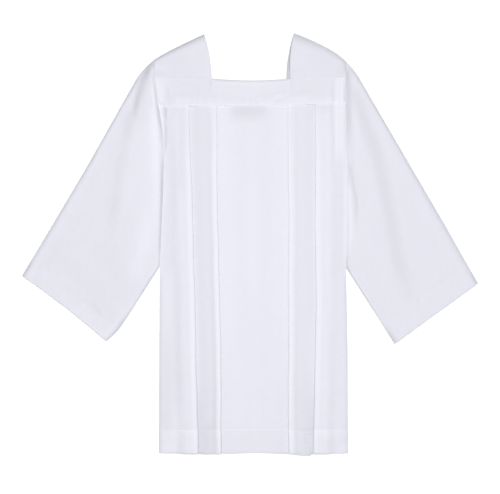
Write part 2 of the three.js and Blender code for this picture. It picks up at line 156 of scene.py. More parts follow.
# Painted shade and light on the front's pleats: how white each strip, the middle and, from the outer fold to
# the inner one, each folded edge, its crest and the cloth beside it are painted. Each strip pales towards its
# fold, where the layers behind it show through
strip_painted_shading = [0.9, -0.5]
low_strip_painted_shade = -1.7
centre_painted_light = 1.4
fold_painted_shading = {"low": -0.6, "high": 0.6}
edge_painted_shading = {"left": [-1.2, 1.4], "right": [4.2, 4.6]}
low_edge_painted_shade = -0.6
flat_edge_painted_light = {"left": [4.0, 0.0], "right": [0.0, 3.0]}
crest_painted_highlight = 1.4
crest_painted_highlight_reach = 3.5
flank_painted_shading = {"low": -1.0, "high": 2.6}
flank_reach = 7
pale_reaches = {"left": [22, 11], "right": [22, 13]}

# Rows of the panel: close together at the hem's edge, at its stitching and below the yoke
hem_rows = [0, 0.4, 1.2, 3, 6, 11, 18, 26, 35, 43, 47.5, 49, 50, 50.8, 52, 54.5, 57]
hem_stitch_row = 10
body_rows = np.concatenate([hem_rows, np.linspace(60, 706, 112), np.linspace(706, top_height, 18)[1:]])

# Columns of each half: close together at the side seam and round the folds
seam_steps = np.array([0, 0.25, 0.7, 1.5, 2.8, 4.6, 7.5, 12])
outer_columns = 20
middle_columns = 19
climb_shares = np.linspace(0, 1, 9)
swell_shares = np.linspace(0, 1, 9)[1:-1]
crest_degrees = np.linspace(90, 0, 10)
edge_degrees = np.linspace(0, -90, 5)[1:]
turn_degrees = np.linspace(90, 270, 6)


def crease(height, width, *path, grown=0.3, kept=0.65, flatness=2):
    """A soft fold, or a change of tone, along a path from above to below. It grows over the first share of
    the path, fades after the share that is kept, and has a broader top where its flatness is higher."""
    return SimpleNamespace(height=height, width=width, path=path, grown=grown, kept=kept, flatness=flatness)


# Soft folds of the visible front
front_creases = [
    crease(-1.4, 2.6, (-186.5, 795), (-187, 740), (-186.5, 655)),
    crease(-1.0, 12, (-50, 743), (-6, 742), (44, 744)),
    crease(1.0, 9, (-181, 780), (-178, 700), (-177, 560)),
    crease(0.9, 13, (-168, 620), (-171, 480), (-168, 330)),
    crease(-0.3, 20, (-160, 240), (-163, 120), (-166, 60)),
    crease(-0.8, 12, (-111, 330), (-106, 200), (-104, 70)),
    crease(2.4, 11, (192, 832), (192, 740), (192, 668), (195, 610), grown=0.1, kept=0.75, flatness=4),
    crease(1.6, 6, (203, 640), (204, 540), (203, 420)),
    crease(0.8, 16, (175, 640), (178, 500), (172, 330)),
    crease(-0.5, 2.6, (171, 740), (177, 722), (178, 706)),
    crease(-0.5, 2.6, (180, 700), (181, 680), (180, 664)),
    crease(-1.3, 3.4, (122, 60), (120, 34), (121, 8)),
    crease(0.9, 7, (128, 330), (129, 180), (130, 20)),
    crease(-0.8, 17, (186, 250), (184, 130), (186, 60)),
    crease(0.8, 24, (-34, 620), (-28, 420), (-30, 180)),
    crease(0.7, 26, (30, 600), (24, 420), (28, 220)),
]

# Painted shade and light: where the front is painted greyer or paler than the rest
front_painted_shading = [
    crease(-1.3, 14, (-176, 751), (-164, 751), (-140, 751), grown=0.1, kept=0.9),
    crease(-1.5, 10, (-152, 740), (-152, 650), (-152, 540), grown=0.05),
    crease(-1.9, 15, (130, 756), (150, 757), (178, 758), grown=0.1, kept=0.9),
    crease(-2.2, 13, (-184, 330), (-184, 140), (-186, 10), grown=0.5, kept=0.8),
    crease(1.9, 11, (-160, 150), (-160, 60), (-159, 2), grown=0.6, kept=0.97),
    crease(-1.6, 9, (-93, 80), (-93, 40), (-92, 2), grown=0.4, kept=0.97),
    crease(-1.1, 20, (140, 20), (170, 20), (208, 20), grown=0.1, kept=0.95),
    crease(-1.7, 10, (197, 500), (197, 300), (199, 10), grown=0.3, kept=0.95),
    crease(0.8, 13, (-2, 620), (0, 450), (2, 290)),
]


def smooth(start, end, value):
    share = np.clip((value - start) / (end - start), 0, 1)
    return share * share * (3 - 2 * share)


def between(first, second, share):
    return first + (second - first) * share


def bell(distance, width):
    """Share that is all there at no distance and dies away over a width on both sides."""
    return np.exp(-((distance / width) ** 2))


def read_at(rows, column, y):
    return np.interp(y, [row["y"] for row in rows], [row[column] for row in rows])


def wander(y, seed):
    """Millimetres by which a hand-laid fold strays as it runs down the cloth."""
    return 0.45 * np.sin(y / 41 + seed) + 0.3 * np.sin(y / 17.5 + 2.3 * seed)


def rounded_edge(distance, width):
    """Height share of cloth that turns down to its edge: none at the edge, all of it a width inside."""
    share = np.clip(np.asarray(distance, float) / width, 0, 1)
    return share * (2 - share)


def walked_down(line):
    """Length of a line of points from its start to each point."""
    return np.concatenate([[0], np.cumsum(np.linalg.norm(np.diff(line, axis=0), axis=1))])


def spot_on(line, walked, distance):
    """The point that lies a distance along a line."""
    return np.array([np.interp(distance, walked, line[:, axis]) for axis in range(line.shape[1])])


def beside_path(x, y, path):
    """Distance from a path, positive to the left of its run, and the share of its length passed there."""
    corners = np.array(path, float)
    walked = walked_down(corners)
    nearest = np.full(np.shape(x), np.inf)
    distance = np.zeros(np.shape(x))
    share = np.zeros(np.shape(x))
    for start, end, before, after in zip(corners[:-1], corners[1:], walked[:-1], walked[1:]):
        length = after - before
        run = (end - start) / length
        passed = np.clip((x - start[0]) * run[0] + (y - start[1]) * run[1], 0, length)
        off_x = x - start[0] - passed * run[0]
        off_y = y - start[1] - passed * run[1]
        reach = np.hypot(off_x, off_y)
        closer = reach < nearest
        side = np.where(run[0] * off_y - run[1] * off_x < 0, -1, 1)
        nearest = np.where(closer, reach, nearest)
        distance = np.where(closer, side * reach, distance)
        share = np.where(closer, (before + passed) / walked[-1], share)
    return distance, share


def creased(x, y, creases):
    """Height, or tone, that a list of creases adds at each place."""
    total = np.zeros(np.shape(x))
    for fold in creases:
        distance, share = beside_path(x, y, fold.path)
        taper = smooth(0, fold.grown, share) * (1 - smooth(fold.kept, 1, share))
        total = total + fold.height * taper * np.exp(-(np.abs(distance / fold.width) ** fold.flatness))
    return total


def ripples(x, y, length, seed):
    """Low even unrest of cloth that was pressed, carried and laid down, between about -1 and 1."""
    chance = np.random.default_rng(seed)
    total = 0
    for _ in range(6):
        angle = chance.uniform(0, math.pi)
        run = 2 * math.pi / (length * chance.uniform(0.7, 1.6))
        total = total + np.sin(run * (x * math.cos(angle) + y * math.sin(angle)) + chance.uniform(0, 6.3))
    return total / 3


def yoke_seam_at(x):
    share = np.minimum(1, np.abs(x) / 205.5)
    ends = np.where(x < 0, yoke_seam["left"], yoke_seam["right"])
    return between(yoke_seam["middle"], ends, share * share)


def front_relief(x, y):
    """Height of the front's soft folds over its plain lay, with the gathers under the yoke and at the hem."""
    height = 0.28 * ripples(x, y, 95, 4) + 0.07 * ripples(x, y, 26, 9)
    below_yoke = np.exp(-np.clip(yoke_seam_at(x) - y, 0, None) / 15)
    height = height + 0.22 * below_yoke * np.sin(x / 2.9 + 1.6 * np.sin(x / 23))
    height = height + 0.09 * bell(y - hem_depth, 7) * np.sin(x / 3.6 + 1.3 * np.sin(x / 31))
    height = height - stitch_groove * bell(y - hem_depth + 1.5, 1.4)
    return np.clip(height + creased(x, y, front_creases), -0.75, None)


def room_at(y, run):
    return between(turned_room, layer_room, smooth(hem_depth, hem_depth + run, y))


def half_section(side, y, seam_y=None):
    """One half of a section across the body. u is 0 in the middle and negative towards the side seam."""
    sign = -1 if side == "left" else 1
    seam_y = y if seam_y is None else seam_y
    folds = [
        -sign * read_at(pleat_rows, f"{side}_{place}", y) + wander(y, seed + sign)
        for place, seed in (("outer", 1.0), ("inner", 4.0))
    ]
    room = room_at(y, hem_step)
    return SimpleNamespace(
        seam=-sign * read_at(side_seams, side, seam_y),
        folds=folds,
        room=room,
        ply=room + layer_gap,
        back_ply=room_at(y, hem_release) + layer_gap,
        roll=read_at(roll_rows, "roll", y),
        roll_shares=roll_shares[side],
        reaches=[read_at(roll_rows, f"{place}_reach", y) for place in ("outer", "inner")],
        beside_fold=beside_folds[side],
        seam_level=read_at(seam_levels, side, seam_y),
        side_swell=side_swell * (1 - smooth(330, 430, y)),
        # The strips, the folds, their edges, crests and flanks are painted with shade and light
        strip_painted_shading=[strip_painted_shading[0], between(low_strip_painted_shade, strip_painted_shading[1], smooth(40, 230, y))],
        fold_painted_shading=between(fold_painted_shading["low"], fold_painted_shading["high"], smooth(60, 330, y)),
        edge_painted_shading=[
            white + low * (1 - smooth(50, 170, y)) + flat * smooth(718, 738, y)
            for white, low, flat in zip(edge_painted_shading[side], (low_edge_painted_shade, 0), flat_edge_painted_light[side])
        ],
        crest_painted_highlight=crest_painted_highlight * smooth(20, 190, y) * (1 - smooth(620, 715, y)),
        flank_painted_shading=between(flank_painted_shading["low"], flank_painted_shading["high"], smooth(60, 190, y)),
        pale_reaches=pale_reaches[side],
    )


def front_level(half, u):
    """The front lies low at the side seams and in the middle, and rides over the back's pleats between."""
    outer_fold, inner_fold = half.folds
    climbed = outer_fold - pleat_depth - half.back_ply - fold_margin
    eased = inner_fold + pleat_lead + fold_margin
    hump = smooth(half.seam + fold_margin, climbed, u) * (1 - smooth(eased, eased + centre_ease, u))
    return half.room / 2 + half.back_ply + 2 * half.back_ply * hump


def arc(centre_u, centre_z, radius, degrees):
    angles = np.radians(degrees)
    return centre_u + radius * np.cos(angles), centre_z + radius * np.sin(angles)


def meet_seam(level, seam_level, distance):
    """Cloth that turns down to a low seam, or eases up to one that stands on a ridge."""
    turned = between(seam_level, level, rounded_edge(distance, seam_turn))
    eased = between(seam_level, level, smooth(0, seam_ease, distance))
    return np.where(level > seam_level, turned, eased)


def join_runs(runs):
    return [np.concatenate([np.broadcast_to(run[part], run[0].shape) for run in runs]) for part in range(4)]


def front_half(half):
    """One half of the front: each ply climbs to the crest of its soft roll, turns at the fold and runs back
    under.
    Where hidden plies lie beneath, the cloth shows more solid white. Its strips, crests, folded edges and the
    cloth beside the folds are painted with shade and light."""
    runs = []
    start = half.seam
    for strip, fold in enumerate(half.folds):
        below = half.ply / 2
        crest_height = half.ply + 2 * max(half.roll * half.roll_shares[strip], below)
        reach = half.reaches[strip]
        crest = fold - reach
        climb_end = fold - pleat_depth - half.ply
        if strip == 0:
            climb_start = swell_start = max(fold - outer_climb, start + 10)
            flat = start + seam_steps
            climb = np.linspace(flat[-1], climb_end, outer_columns)[1:]
        else:
            shown = half.folds[0]
            climb_start, swell_start = shown + 3, crest - swell_reach
            flat = np.concatenate([np.linspace(start, shown, 4)[1:-1], [shown, shown + 1.5]])
            climb = between(climb_start, climb_end, climb_shares)
        u = np.concatenate([flat, climb, between(climb_end, crest, swell_shares)])
        rise = 2 * half.ply * smooth(climb_start, climb_end, u)
        rise = rise + (crest_height - 2 * half.ply) * smooth(swell_start, crest, u)
        z = front_level(half, u) + rise
        # Each strip is painted with shade or light and pales towards its fold, where hidden plies lie
        # beneath; a painted highlight runs along its crest
        pale_from = fold - half.pale_reaches[strip]
        white = between(half.strip_painted_shading[strip], 1, smooth(pale_from - 3, pale_from + 1, u))
        white = white + half.crest_painted_highlight * bell(u - crest, crest_painted_highlight_reach)
        if strip == 0:
            z = z + half.side_swell * (1 - smooth(half.seam + 12, half.seam + 42, u))
            z = meet_seam(z, half.seam_level, u - half.seam)
        else:
            # Painted shade near the hem and painted light higher up, on the strip beside the shown fold
            flank = half.flank_painted_shading * np.exp(-np.clip(u - shown - 1.5, 0, None) / flank_reach)
            white = white + flank * smooth(shown - 1, shown + 1.5, u)
        runs.append((u, z, strip, white))
        edge_level = front_level(half, fold) + half.ply + below
        crest_level = front_level(half, crest) + crest_height
        angles = np.radians(crest_degrees)
        # The folded edge and the turn up to the crest are painted with shade and light
        edge_painted_tone = half.edge_painted_shading[strip]
        edge_z = between(edge_level, crest_level, np.sin(angles))
        whites = between(edge_painted_tone, 1 + half.crest_painted_highlight, np.sin(angles))
        runs.append((crest + reach * np.cos(angles), edge_z, strip + 0.5, whites))
        runs.append((*arc(fold - below, edge_level, below, edge_degrees), strip + 0.5, edge_painted_tone))
        turn = fold - pleat_depth
        under = np.linspace(fold - below, turn, 4)[1:-1]
        runs.append((under, front_level(half, under) + half.ply, strip + 1, 1))
        runs.append((*arc(turn, front_level(half, turn) + below, below, turn_degrees), strip + 1, 1))
        start = turn
    u = np.concatenate([np.linspace(start, fold, 4)[1:-1], np.linspace(fold, -middle_gap, middle_columns)])
    beside = smooth(fold + 0.6, fold + 4, u) * (1 - smooth(fold + 4, fold + 24, u))
    z = front_level(half, u) + half.beside_fold * beside
    # The middle is painted lighter, and beside the inner fold it is painted with shade near the hem and light
    # higher up
    white = centre_painted_light + half.fold_painted_shading * (1 - smooth(fold + 8, fold + 45, u))
    runs.append((u, z, 2, white * smooth(fold, fold + 3, u)))
    return join_runs(runs)


def hem_drop_at(side, half, u, strip, y):
    on_strip = np.clip(1 - np.abs(strip - 1), 0, None)
    on_strip = on_strip * smooth(half.folds[0], half.folds[0] + hem_drop_lead, u)
    drop = between(hem_drops[side]["outer"], hem_drops[side]["inner"], smooth(*half.folds, u))
    return on_strip * drop * (1 - smooth(0, hem_drop_fade, y))


def body_grid(top_at, half_path, drops):
    """The whole panel as rows of points from side seam to side seam, and how white it looks at each."""
    rows, whites = [], []
    for y in body_rows:
        fanned = max(0, (y - fan_height) / (top_height - fan_height))
        points, white = [], []
        for side, sign in (("left", -1), ("right", 1)):
            seam_x = read_at(side_seams, side, y)
            half = half_section(side, y, between(y, top_at(seam_x), fanned))
            u, z, strip, half_white = half_path(half)
            x = -sign * u
            drop = hem_drop_at(side, half, u, strip, y) if drops else 0
            run = slice(None, None, -sign)
            points.append(np.stack([x, between(y, top_at(x), fanned) - drop, z], axis=1)[run])
            white.append(half_white[run])
        rows.append(np.concatenate(points))
        whites.append(np.concatenate(white))
    return np.array(rows), np.array(whites)


def unit(vectors):
    return vectors / np.maximum(np.linalg.norm(vectors, axis=-1, keepdims=True), 1e-9)


def neighbours(points, axis, ring=False):
    """The points before and after each one along one way of the grid."""
    first, last = (-1, 0) if ring else (0, -1)
    padded = np.concatenate([points.take([first], axis), points, points.take([last], axis)], axis)
    count = points.shape[axis]
    return padded.take(range(count), axis), padded.take(range(2, count + 2), axis)


def run_along(points, axis, ring=False):
    """Direction of the cloth at each point along one way of its grid."""
    before, after = neighbours(points, axis, ring)
    return unit(points - before) + unit(after - points)


def bend_along(points, normal, axis, ring=False):
    """How sharply the cloth bends, per millimetre: crests count up, hollows count down."""
    before, after = neighbours(points, axis, ring)
    turn = unit(after - points) - unit(points - before)
    gap = (np.linalg.norm(after - points, axis=-1) + np.linalg.norm(points - before, axis=-1)) / 2
    bend = -np.sum(turn * normal, axis=-1) / np.maximum(gap, 0.2)
    if not ring:
        np.moveaxis(bend, axis, 0)[[0, -1]] = 0
    for _ in range(3):
        for way in (1, 0):
            before, after = neighbours(bend, way)
            bend = (before + 2 * bend + after) / 4
    return bend


def walked_along(points, axis):
    """Millimetres of cloth walked from the middle of the grid along one way of it."""
    gaps = np.linalg.norm(np.diff(points, axis=axis), axis=-1)
    start = np.zeros_like(points[..., 0]).take([0], axis=axis)
    walked = np.concatenate([start, np.cumsum(gaps, axis=axis)], axis=axis)
    return walked - walked.take([walked.shape[axis] // 2], axis=axis)


relief_cell = 4


def height_over_surroundings(points, reach):
    """Millimetres by which each point lies above or below the cloth round it."""
    place = (points[..., :2] - points[..., :2].min(axis=(0, 1))) / relief_cell
    size = place.max(axis=(0, 1)).astype(int) + 2
    top = np.zeros(size)
    first, part = place.astype(int), place % 1
    np.maximum.at(top, (first[..., 0], first[..., 1]), points[..., 2])
    covered = (top > 0).astype(float)
    weights = np.exp(-((np.arange(-10, 11) * relief_cell / reach) ** 2) / 2)
    for axis in (0, 1):
        top, covered = (
            np.apply_along_axis(np.convolve, axis, layer, weights, "same") for layer in (top, covered)
        )
    level = top / np.maximum(covered, 1e-9)
    last = np.minimum(first + 1, size - 1)
    near, far = (
        between(level[first[..., 0], row[..., 1]], level[last[..., 0], row[..., 1]], part[..., 0])
        for row in (first, last)
    )
    return points[..., 2] - between(near, far, part[..., 1])


def place_mesh(name, points, faces, material):
    """A smooth piece from points in millimetres on the garment as it lies."""
    mesh = bpy.data.meshes.new(name)
    placed = np.array(points) * millimetre + np.array([middle_place, hem_place, 0])
    mesh.from_pydata(placed.tolist(), [], faces)
    mesh.shade_smooth()
    mesh.materials.append(material)
    piece = bpy.data.objects.new(name, mesh)
    bpy.context.scene.collection.objects.link(piece)
    return piece


def set_on_points(mesh, name, kind, field, values):
    attribute = mesh.attributes.new(name, kind, "POINT")
    attribute.data.foreach_set(field, np.ascontiguousarray(values, dtype=np.float32).ravel())


def make_cloth(name, points, thickness, white, material, ring=False, relief_reach=15):
    """A closed thin piece of cloth round a grid of middle points, with what its finish needs at each."""
    shape = points.shape[:2]
    count = shape[0] * shape[1]
    normal = unit(np.cross(run_along(points, 1, ring), run_along(points, 0)))
    half_thickness = np.broadcast_to(thickness, shape) / 2
    lift = half_thickness[..., None]
    outer, inner = points + normal * lift, points - normal * lift
    index = np.arange(count).reshape(shape)
    here, there = (index, np.roll(index, -1, axis=1)) if ring else (index[:, :-1], index[:, 1:])
    cells = np.stack([here[:-1], there[:-1], there[1:], here[1:]], axis=-1).reshape(-1, 4)
    faces = [cells, cells[:, ::-1] + count]

    outward = np.zeros_like(points)
    outward[0] -= unit(points[1] - points[0])
    outward[-1] -= unit(points[-2] - points[-1])
    if ring:
        edges = [index[0], index[-1][::-1]]
    else:
        outward[:, 0] -= unit(points[:, 1] - points[:, 0])
        outward[:, -1] -= unit(points[:, -2] - points[:, -1])
        edges = [np.concatenate([index[0, :-1], index[:-1, -1], index[-1, :0:-1], index[:0:-1, 0]])]
    rims = (points + unit(outward) * lift * 0.8).reshape(-1, 3)
    vertices = [outer.reshape(-1, 3), inner.reshape(-1, 3)]
    sources = [index.ravel(), index.ravel()]
    for start in edges:
        end = np.roll(start, -1)
        rim = sum(len(part) for part in vertices) + np.arange(len(start))
        next_rim = np.roll(rim, -1)
        faces.append(np.stack([end, start, rim, next_rim], axis=-1))
        faces.append(np.stack([next_rim, rim, start + count, end + count], axis=-1))
        vertices.append(rims[start])
        sources.append(start)

    piece = place_mesh(name, np.concatenate(vertices), np.concatenate(faces).tolist(), material)
    sources = np.concatenate(sources)
    # Painted light and shade for the finish: crests of bends paler and hollows greyer, cloth above its
    # surroundings paler and cloth below them greyer, and the white tone, which holds paler doubled cloth and
    # painted shade and light
    bend = bend_along(points, normal, 1, ring) + bend_along(points, normal, 0)
    weave = np.stack([walked_along(points, 1), walked_along(points, 0), np.zeros(shape)], axis=-1)
    relief_painted_shade = np.clip(height_over_surroundings(points, relief_reach) / 4, -1, 1)
    set_on_points(piece.data, "weave", "FLOAT_VECTOR", "vector", weave.reshape(-1, 3)[sources])
    for field, values in (("crest", np.tanh(bend / 0.05)), ("white", white), ("relief_painted_shade", relief_painted_shade)):
        set_on_points(piece.data, field, "FLOAT", "value", np.broadcast_to(values, shape).ravel()[sources])
    return SimpleNamespace(piece=piece, points=points, normal=normal, half_thickness=half_thickness)


def feed(node, inputs):
    """Gives each named input its value, or a wire from what another node puts out."""
    for name, value in inputs.items():
        if isinstance(value, bpy.types.NodeSocket):
            node.id_data.links.new(value, node.inputs[name])
        else:
            node.inputs[name].default_value = value


def add_node(tree, kind, inputs, **settings):
    node = tree.nodes.new(kind)
    for name, value in settings.items():
        setattr(node, name, value)
    feed(node, inputs)
    return node


def wire_math(tree, operation, *values):
    return add_node(tree, "ShaderNodeMath", dict(enumerate(values)), operation=operation).outputs[0]


def new_finish(name):
    finish = bpy.data.materials.new(name)
    finish.use_nodes = True
    return finish, finish.node_tree, finish.node_tree.nodes["Principled BSDF"]


def tinted(tree, shade, tone=1.0):
    """The cloth's colour at the given tone, times the shade that varies over the piece."""
    colour = {0: [tone * part for part in poly_cotton_colour], "Scale": shade}
    return add_node(tree, "ShaderNodeVectorMath", colour, operation="SCALE").outputs[0]


# White poly-cotton with a slightly blue finish. Threads lie 0.32 mm apart.
poly_cotton_colour = (0.695, 0.6995, 0.7645)
plain_shade = 0.977
thread_pitch = 0.32
thread_relief = 0.035
slub_relief = 0.03
crumple_size = 21
crumple_relief = 1.3
# Painted light and shade: how much the bend, the white tone and the relief lighten or darken the cloth
painted_shading_and_ply_weights = {"crest": 0.035, "white": 0.025, "relief_painted_shade": 0.06}


def poly_cotton(name, tone=1.0, turned=0.0, offset=0.0):
    """Plain weave with faint slubs and a fine crumple. Crests of folds and raised cloth are painted paler and
    hollows greyer, as painted light and shade; the white tone adds doubled cloth, which looks paler, and more
    painted shade and light.
    """
    finish, tree, shader = new_finish(name)
    weave = add_node(tree, "ShaderNodeAttribute", {}, attribute_name="weave")
    lie = {"Rotation": (0, 0, turned), "Location": (offset, offset * 0.7, 0)}
    mapping = add_node(tree, "ShaderNodeMapping", {"Vector": weave.outputs["Vector"], **lie})
    grain = mapping.outputs["Vector"]
    ways = add_node(tree, "ShaderNodeSeparateXYZ", {0: grain})
    warp, weft = (
        wire_math(tree, "SINE", wire_math(tree, "MULTIPLY", ways.outputs[way], math.pi / thread_pitch))
        for way in ("X", "Y")
    )
    thread = wire_math(tree, "MULTIPLY", warp, weft)
    unrest = {"Vector": grain, "Scale": 1 / crumple_size, "Detail": 3, "Roughness": 0.55}
    crumple = add_node(tree, "ShaderNodeTexNoise", unrest).outputs["Fac"]
    drawn_out = add_node(tree, "ShaderNodeVectorMath", {0: grain, 1: (0.03, 1.6, 1)}, operation="MULTIPLY")
    thickenings = {"Vector": drawn_out.outputs[0], "Scale": 0.9, "Detail": 1}
    slubs = add_node(tree, "ShaderNodeTexNoise", thickenings).outputs["Fac"]

    relief = wire_math(tree, "MULTIPLY", crumple, crumple_relief)
    relief = wire_math(tree, "MULTIPLY_ADD", thread, thread_relief, relief)
    relief = wire_math(tree, "MULTIPLY_ADD", slubs, slub_relief, relief)
    bump = add_node(tree, "ShaderNodeBump", {"Strength": 1.0, "Distance": millimetre, "Height": relief})
    # Painted light and shade from the bend, the white tone and the relief
    shade = plain_shade
    for field, lightening in painted_shading_and_ply_weights.items():
        share = add_node(tree, "ShaderNodeAttribute", {}, attribute_name=field).outputs["Fac"]
        shade = wire_math(tree, "MULTIPLY_ADD", share, lightening, shade)
    for share, lightening in ((thread, 0.012), (slubs, 0.016), (crumple, 0.03)):
        shade = wire_math(tree, "MULTIPLY_ADD", share, lightening, shade)
    feed(shader, {
        "Base Color": tinted(tree, shade, tone), "Normal": bump.outputs["Normal"], "Roughness": 0.88,
        "Specular IOR Level": 0.25, "Sheen Weight": 0.06, "Sheen Roughness": 0.5,
    })
    return finish


# Sewing thread: stitches 2.5 mm long at a pitch of 3.2 mm, laid into the cloth that they hold
stitch_pitch = 3.2
stitch_length = 2.5
stitch_width = 0.34
stitch_height = 0.13


def sewing_thread():
    """Spun polyester thread of the cloth's white, twisted and a little glossier than the weave."""
    finish, tree, shader = new_finish("sewing_thread")
    place = add_node(tree, "ShaderNodeTexCoord", {})
    twist = add_node(
        tree, "ShaderNodeTexWave", {"Vector": place.outputs["Object"], "Scale": 900},
        bands_direction="DIAGONAL",
    )
    shade = wire_math(tree, "MULTIPLY_ADD", twist.outputs["Fac"], 0.08, 0.93)
    feed(shader, {"Base Color": tinted(tree, shade), "Roughness": 0.62, "Specular IOR Level": 0.35})
    return finish


def surface_line(cloth_piece, place, side=1):
    """The line where a row or column of the cloth's grid comes to its face, and the way up from there."""
    normal = side * cloth_piece.normal[place]
    return cloth_piece.points[place] + normal * cloth_piece.half_thickness[place][:, None], normal


def make_stitches(name, *lines):
    """Lockstitches along lines on the cloth's face. Each is a small spindle with its back in the cloth."""
    vertices, faces = [], []
    for line, normals in lines:
        walked = walked_down(line)
        for start in np.arange(stitch_pitch / 2, walked[-1] - stitch_length, stitch_pitch):
            tail, middle, tip = (
                spot_on(line, walked, start + share * stitch_length) for share in (0, 0.5, 1)
            )
            up = unit(spot_on(normals, walked, start))
            across = np.cross(up, unit(tip - tail)) * stitch_width / 2
            first = len(vertices)
            crown, root = middle + up * stitch_height, middle - up * stitch_height / 2
            vertices += [tail, tip, crown, middle + across, root, middle - across]
            ring = [first + 2, first + 3, first + 4, first + 5]
            for here, there in zip(ring, ring[1:] + ring[:1]):
                faces += [(first, there, here), (first + 1, here, there)]
    stitches = place_mesh(name, vertices, faces, thread_finish)
    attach(stitches, "root")
    return stitches


thread_finish = sewing_thread()

# The turned hem, the line of its stitching, a painted shadow under the yoke's middle, painted shade in the
# pinch at the left armhole, painted light along the yoke seam, and the right armhole's seam allowance, which
# shows through as a pale bar
hem_whites = {"sides": 0.4, "centre": -0.6}
stitched_whites = {"sides": 1.7, "centre": 0.7}
shade_white = -3.6
pinch_painted_shade = -6.0
pinch_x = -186.9
pinch_width = 2.4
allowance_white = 1.6
seam_painted_light = 2.6


def armhole_allowance(x, y):
    """Share of the right armhole's seam allowance, which lies turned under the front."""
    return smooth(180, 184, x) * (1 - smooth(201, 204, x)) * smooth(625, 675, y)


front_points, front_white = body_grid(lambda x: yoke_seam_at(x) + band_lap, front_half, drops=True)
front_x, front_y = front_points[..., 0], front_points[..., 1]
front_points[..., 2] += front_relief(front_x, front_y)
front_points[..., 2] -= hem_turn_drop * (1 - rounded_edge(front_y, hem_turn))
front_points[..., 2] = np.maximum(front_points[..., 2], hem_rest)
in_hem = 1 - smooth(hem_depth - 1, hem_depth + 0.8, body_rows)[:, None]
on_centre = smooth(-70, -60, front_x) * (1 - smooth(74, 84, front_x))
at_stitches = np.exp(-np.abs(hem_depth - front_y) / 13) * (front_white > -0.2)
# Painted shadow under the yoke's middle, painted shade in the pinch at the left armhole, painted light along
# the yoke seam and the front's painted shade and light
in_shade = smooth(714, 745, front_y) * smooth(-58, -34, front_x) * (1 - smooth(6, 50, front_x))
front_white = (
    front_white + in_hem * between(hem_whites["sides"], hem_whites["centre"], on_centre)
    + in_hem * between(stitched_whites["sides"], stitched_whites["centre"], on_centre) * at_stitches
    + shade_white * in_shade + pinch_painted_shade * bell(front_x - pinch_x, pinch_width) * smooth(650, 668, front_y)
    + allowance_white * armhole_allowance(front_x, front_y)
    + seam_painted_light * bell(front_y - yoke_seam_at(front_x), 3) + creased(front_x, front_y, front_painted_shading)
)
front_panel = make_cloth(
    "front_panel_cloth", front_points, between(cloth, turned_cloth, in_hem), front_white,
    poly_cotton("front_cotton"), relief_reach=8,
)
front_stitches = make_stitches("front_hem_stitches", surface_line(front_panel, hem_stitch_row))
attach(front_panel.piece, "root")
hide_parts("front_panel")

# The back panel
# The same cut with the same four pleats, hidden under the front. Its face lies on the surface, so its hidden
# plies stack upwards, and the creases of carrying lift it a little here and there.

back_level = 0.25
back_turn_degrees = np.linspace(-90, 90, 7)

# Creases that lift the back from the surface where the garment was folded to be carried
back_creases = [
    crease(0.6, 12, (-165, 700), (-158, 480), (-162, 240)),
    crease(0.55, 18, (-30, 690), (-22, 430), (-34, 140)),
    crease(0.6, 15, (38, 560), (30, 330), (41, 90)),
    crease(0.6, 12, (176, 720), (171, 520), (179, 260)),
    crease(0.5, 9, (-176, 210), (-150, 140), (-140, 90)),
    crease(0.5, 10, (196, 320), (176, 230), (170, 120)),
]


def back_half(half):
    """u, z and strip of one half of the back: flat outside, with each pleat folded upwards."""
    ply = half.ply
    middle, top = back_level + ply, back_level + 2 * ply
    start = half.seam + seam_steps[-1]
    runs = [(half.seam + seam_steps, back_level, 0, 0)]
    for fold in half.folds:
        edge, turn = fold - ply / 2, fold - pleat_depth
        down = np.linspace(fold + ply / 2, fold + pleat_lead - ply, 7)
        runs.append((np.linspace(start, edge, 7)[1:-1], back_level, 0, 0))
        runs.append((*arc(edge, back_level + ply / 2, ply / 2, back_turn_degrees), 0, 0))
        runs.append((np.linspace(edge, turn, 4)[1:-1], middle, 0, 0))
        runs.append((*arc(turn, back_level + 1.5 * ply, ply / 2, 180 - back_turn_degrees), 0, 0))
        runs.append((np.linspace(turn, edge, 4)[1:-1], top, 0, 0))
        runs.append((down, back_level + 2 * ply * (1 - smooth(down[0], down[-1], down)), 0, 0))
        start = down[-1]
    runs.append((np.linspace(start, -middle_gap, 12)[1:], back_level, 0, 0))
    return join_runs(runs)


def back_relief(x, y):
    """Creases that lift the back from the surface. They fade out at the side seams."""
    from_seam = np.minimum(x - read_at(side_seams, "left", y), read_at(side_seams, "right", y) - x)
    height = 0.12 * (1 + ripples(x, y, 80, 14)) + creased(x, y, back_creases)
    return height * smooth(0, 14, from_seam)


back_points, _ = body_grid(lambda x: yoke_seam_at(x) - 0.1, back_half, drops=False)
back_points[..., 2] += back_relief(back_points[..., 0], back_points[..., 1])
back_panel = make_cloth(
    "back_panel_cloth", back_points, cloth, in_hem, poly_cotton("back_cotton", offset=40.0)
)
back_stitches = make_stitches("back_hem_stitches", surface_line(back_panel, hem_stitch_row, -1))
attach(back_panel.piece, "root")
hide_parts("back_panel")

# The yoke bands
# Two straight bands of double cloth between the armholes. The front band laps the pleated panel and is
# top-stitched along its lower edge. Its upper edge is the neck edge between the straps.

band_cloth = 0.9
band_top_level = 3.0
band_stitch_rows = (3, -4)
band_clear = 10
front_neck_sag = 4.2
back_neck_sag = 9
armhole_seam_height = 820
band_columns = 190
band_drops = np.array([0, 0.3, 0.9, 1.8, 3.0])
neck_corners = {"front": {"left": -86.8, "right": 84.2}, "back": {"left": -90.6, "right": 76.0}}

# How the band's upper edge turns down: at the neck opening and, hardly at all, at the straps
neck_roll = {"fall": 2.8, "turn": 5.5, "rise": 1.9}
strap_side_roll = {"fall": 0.2, "turn": 3.0}

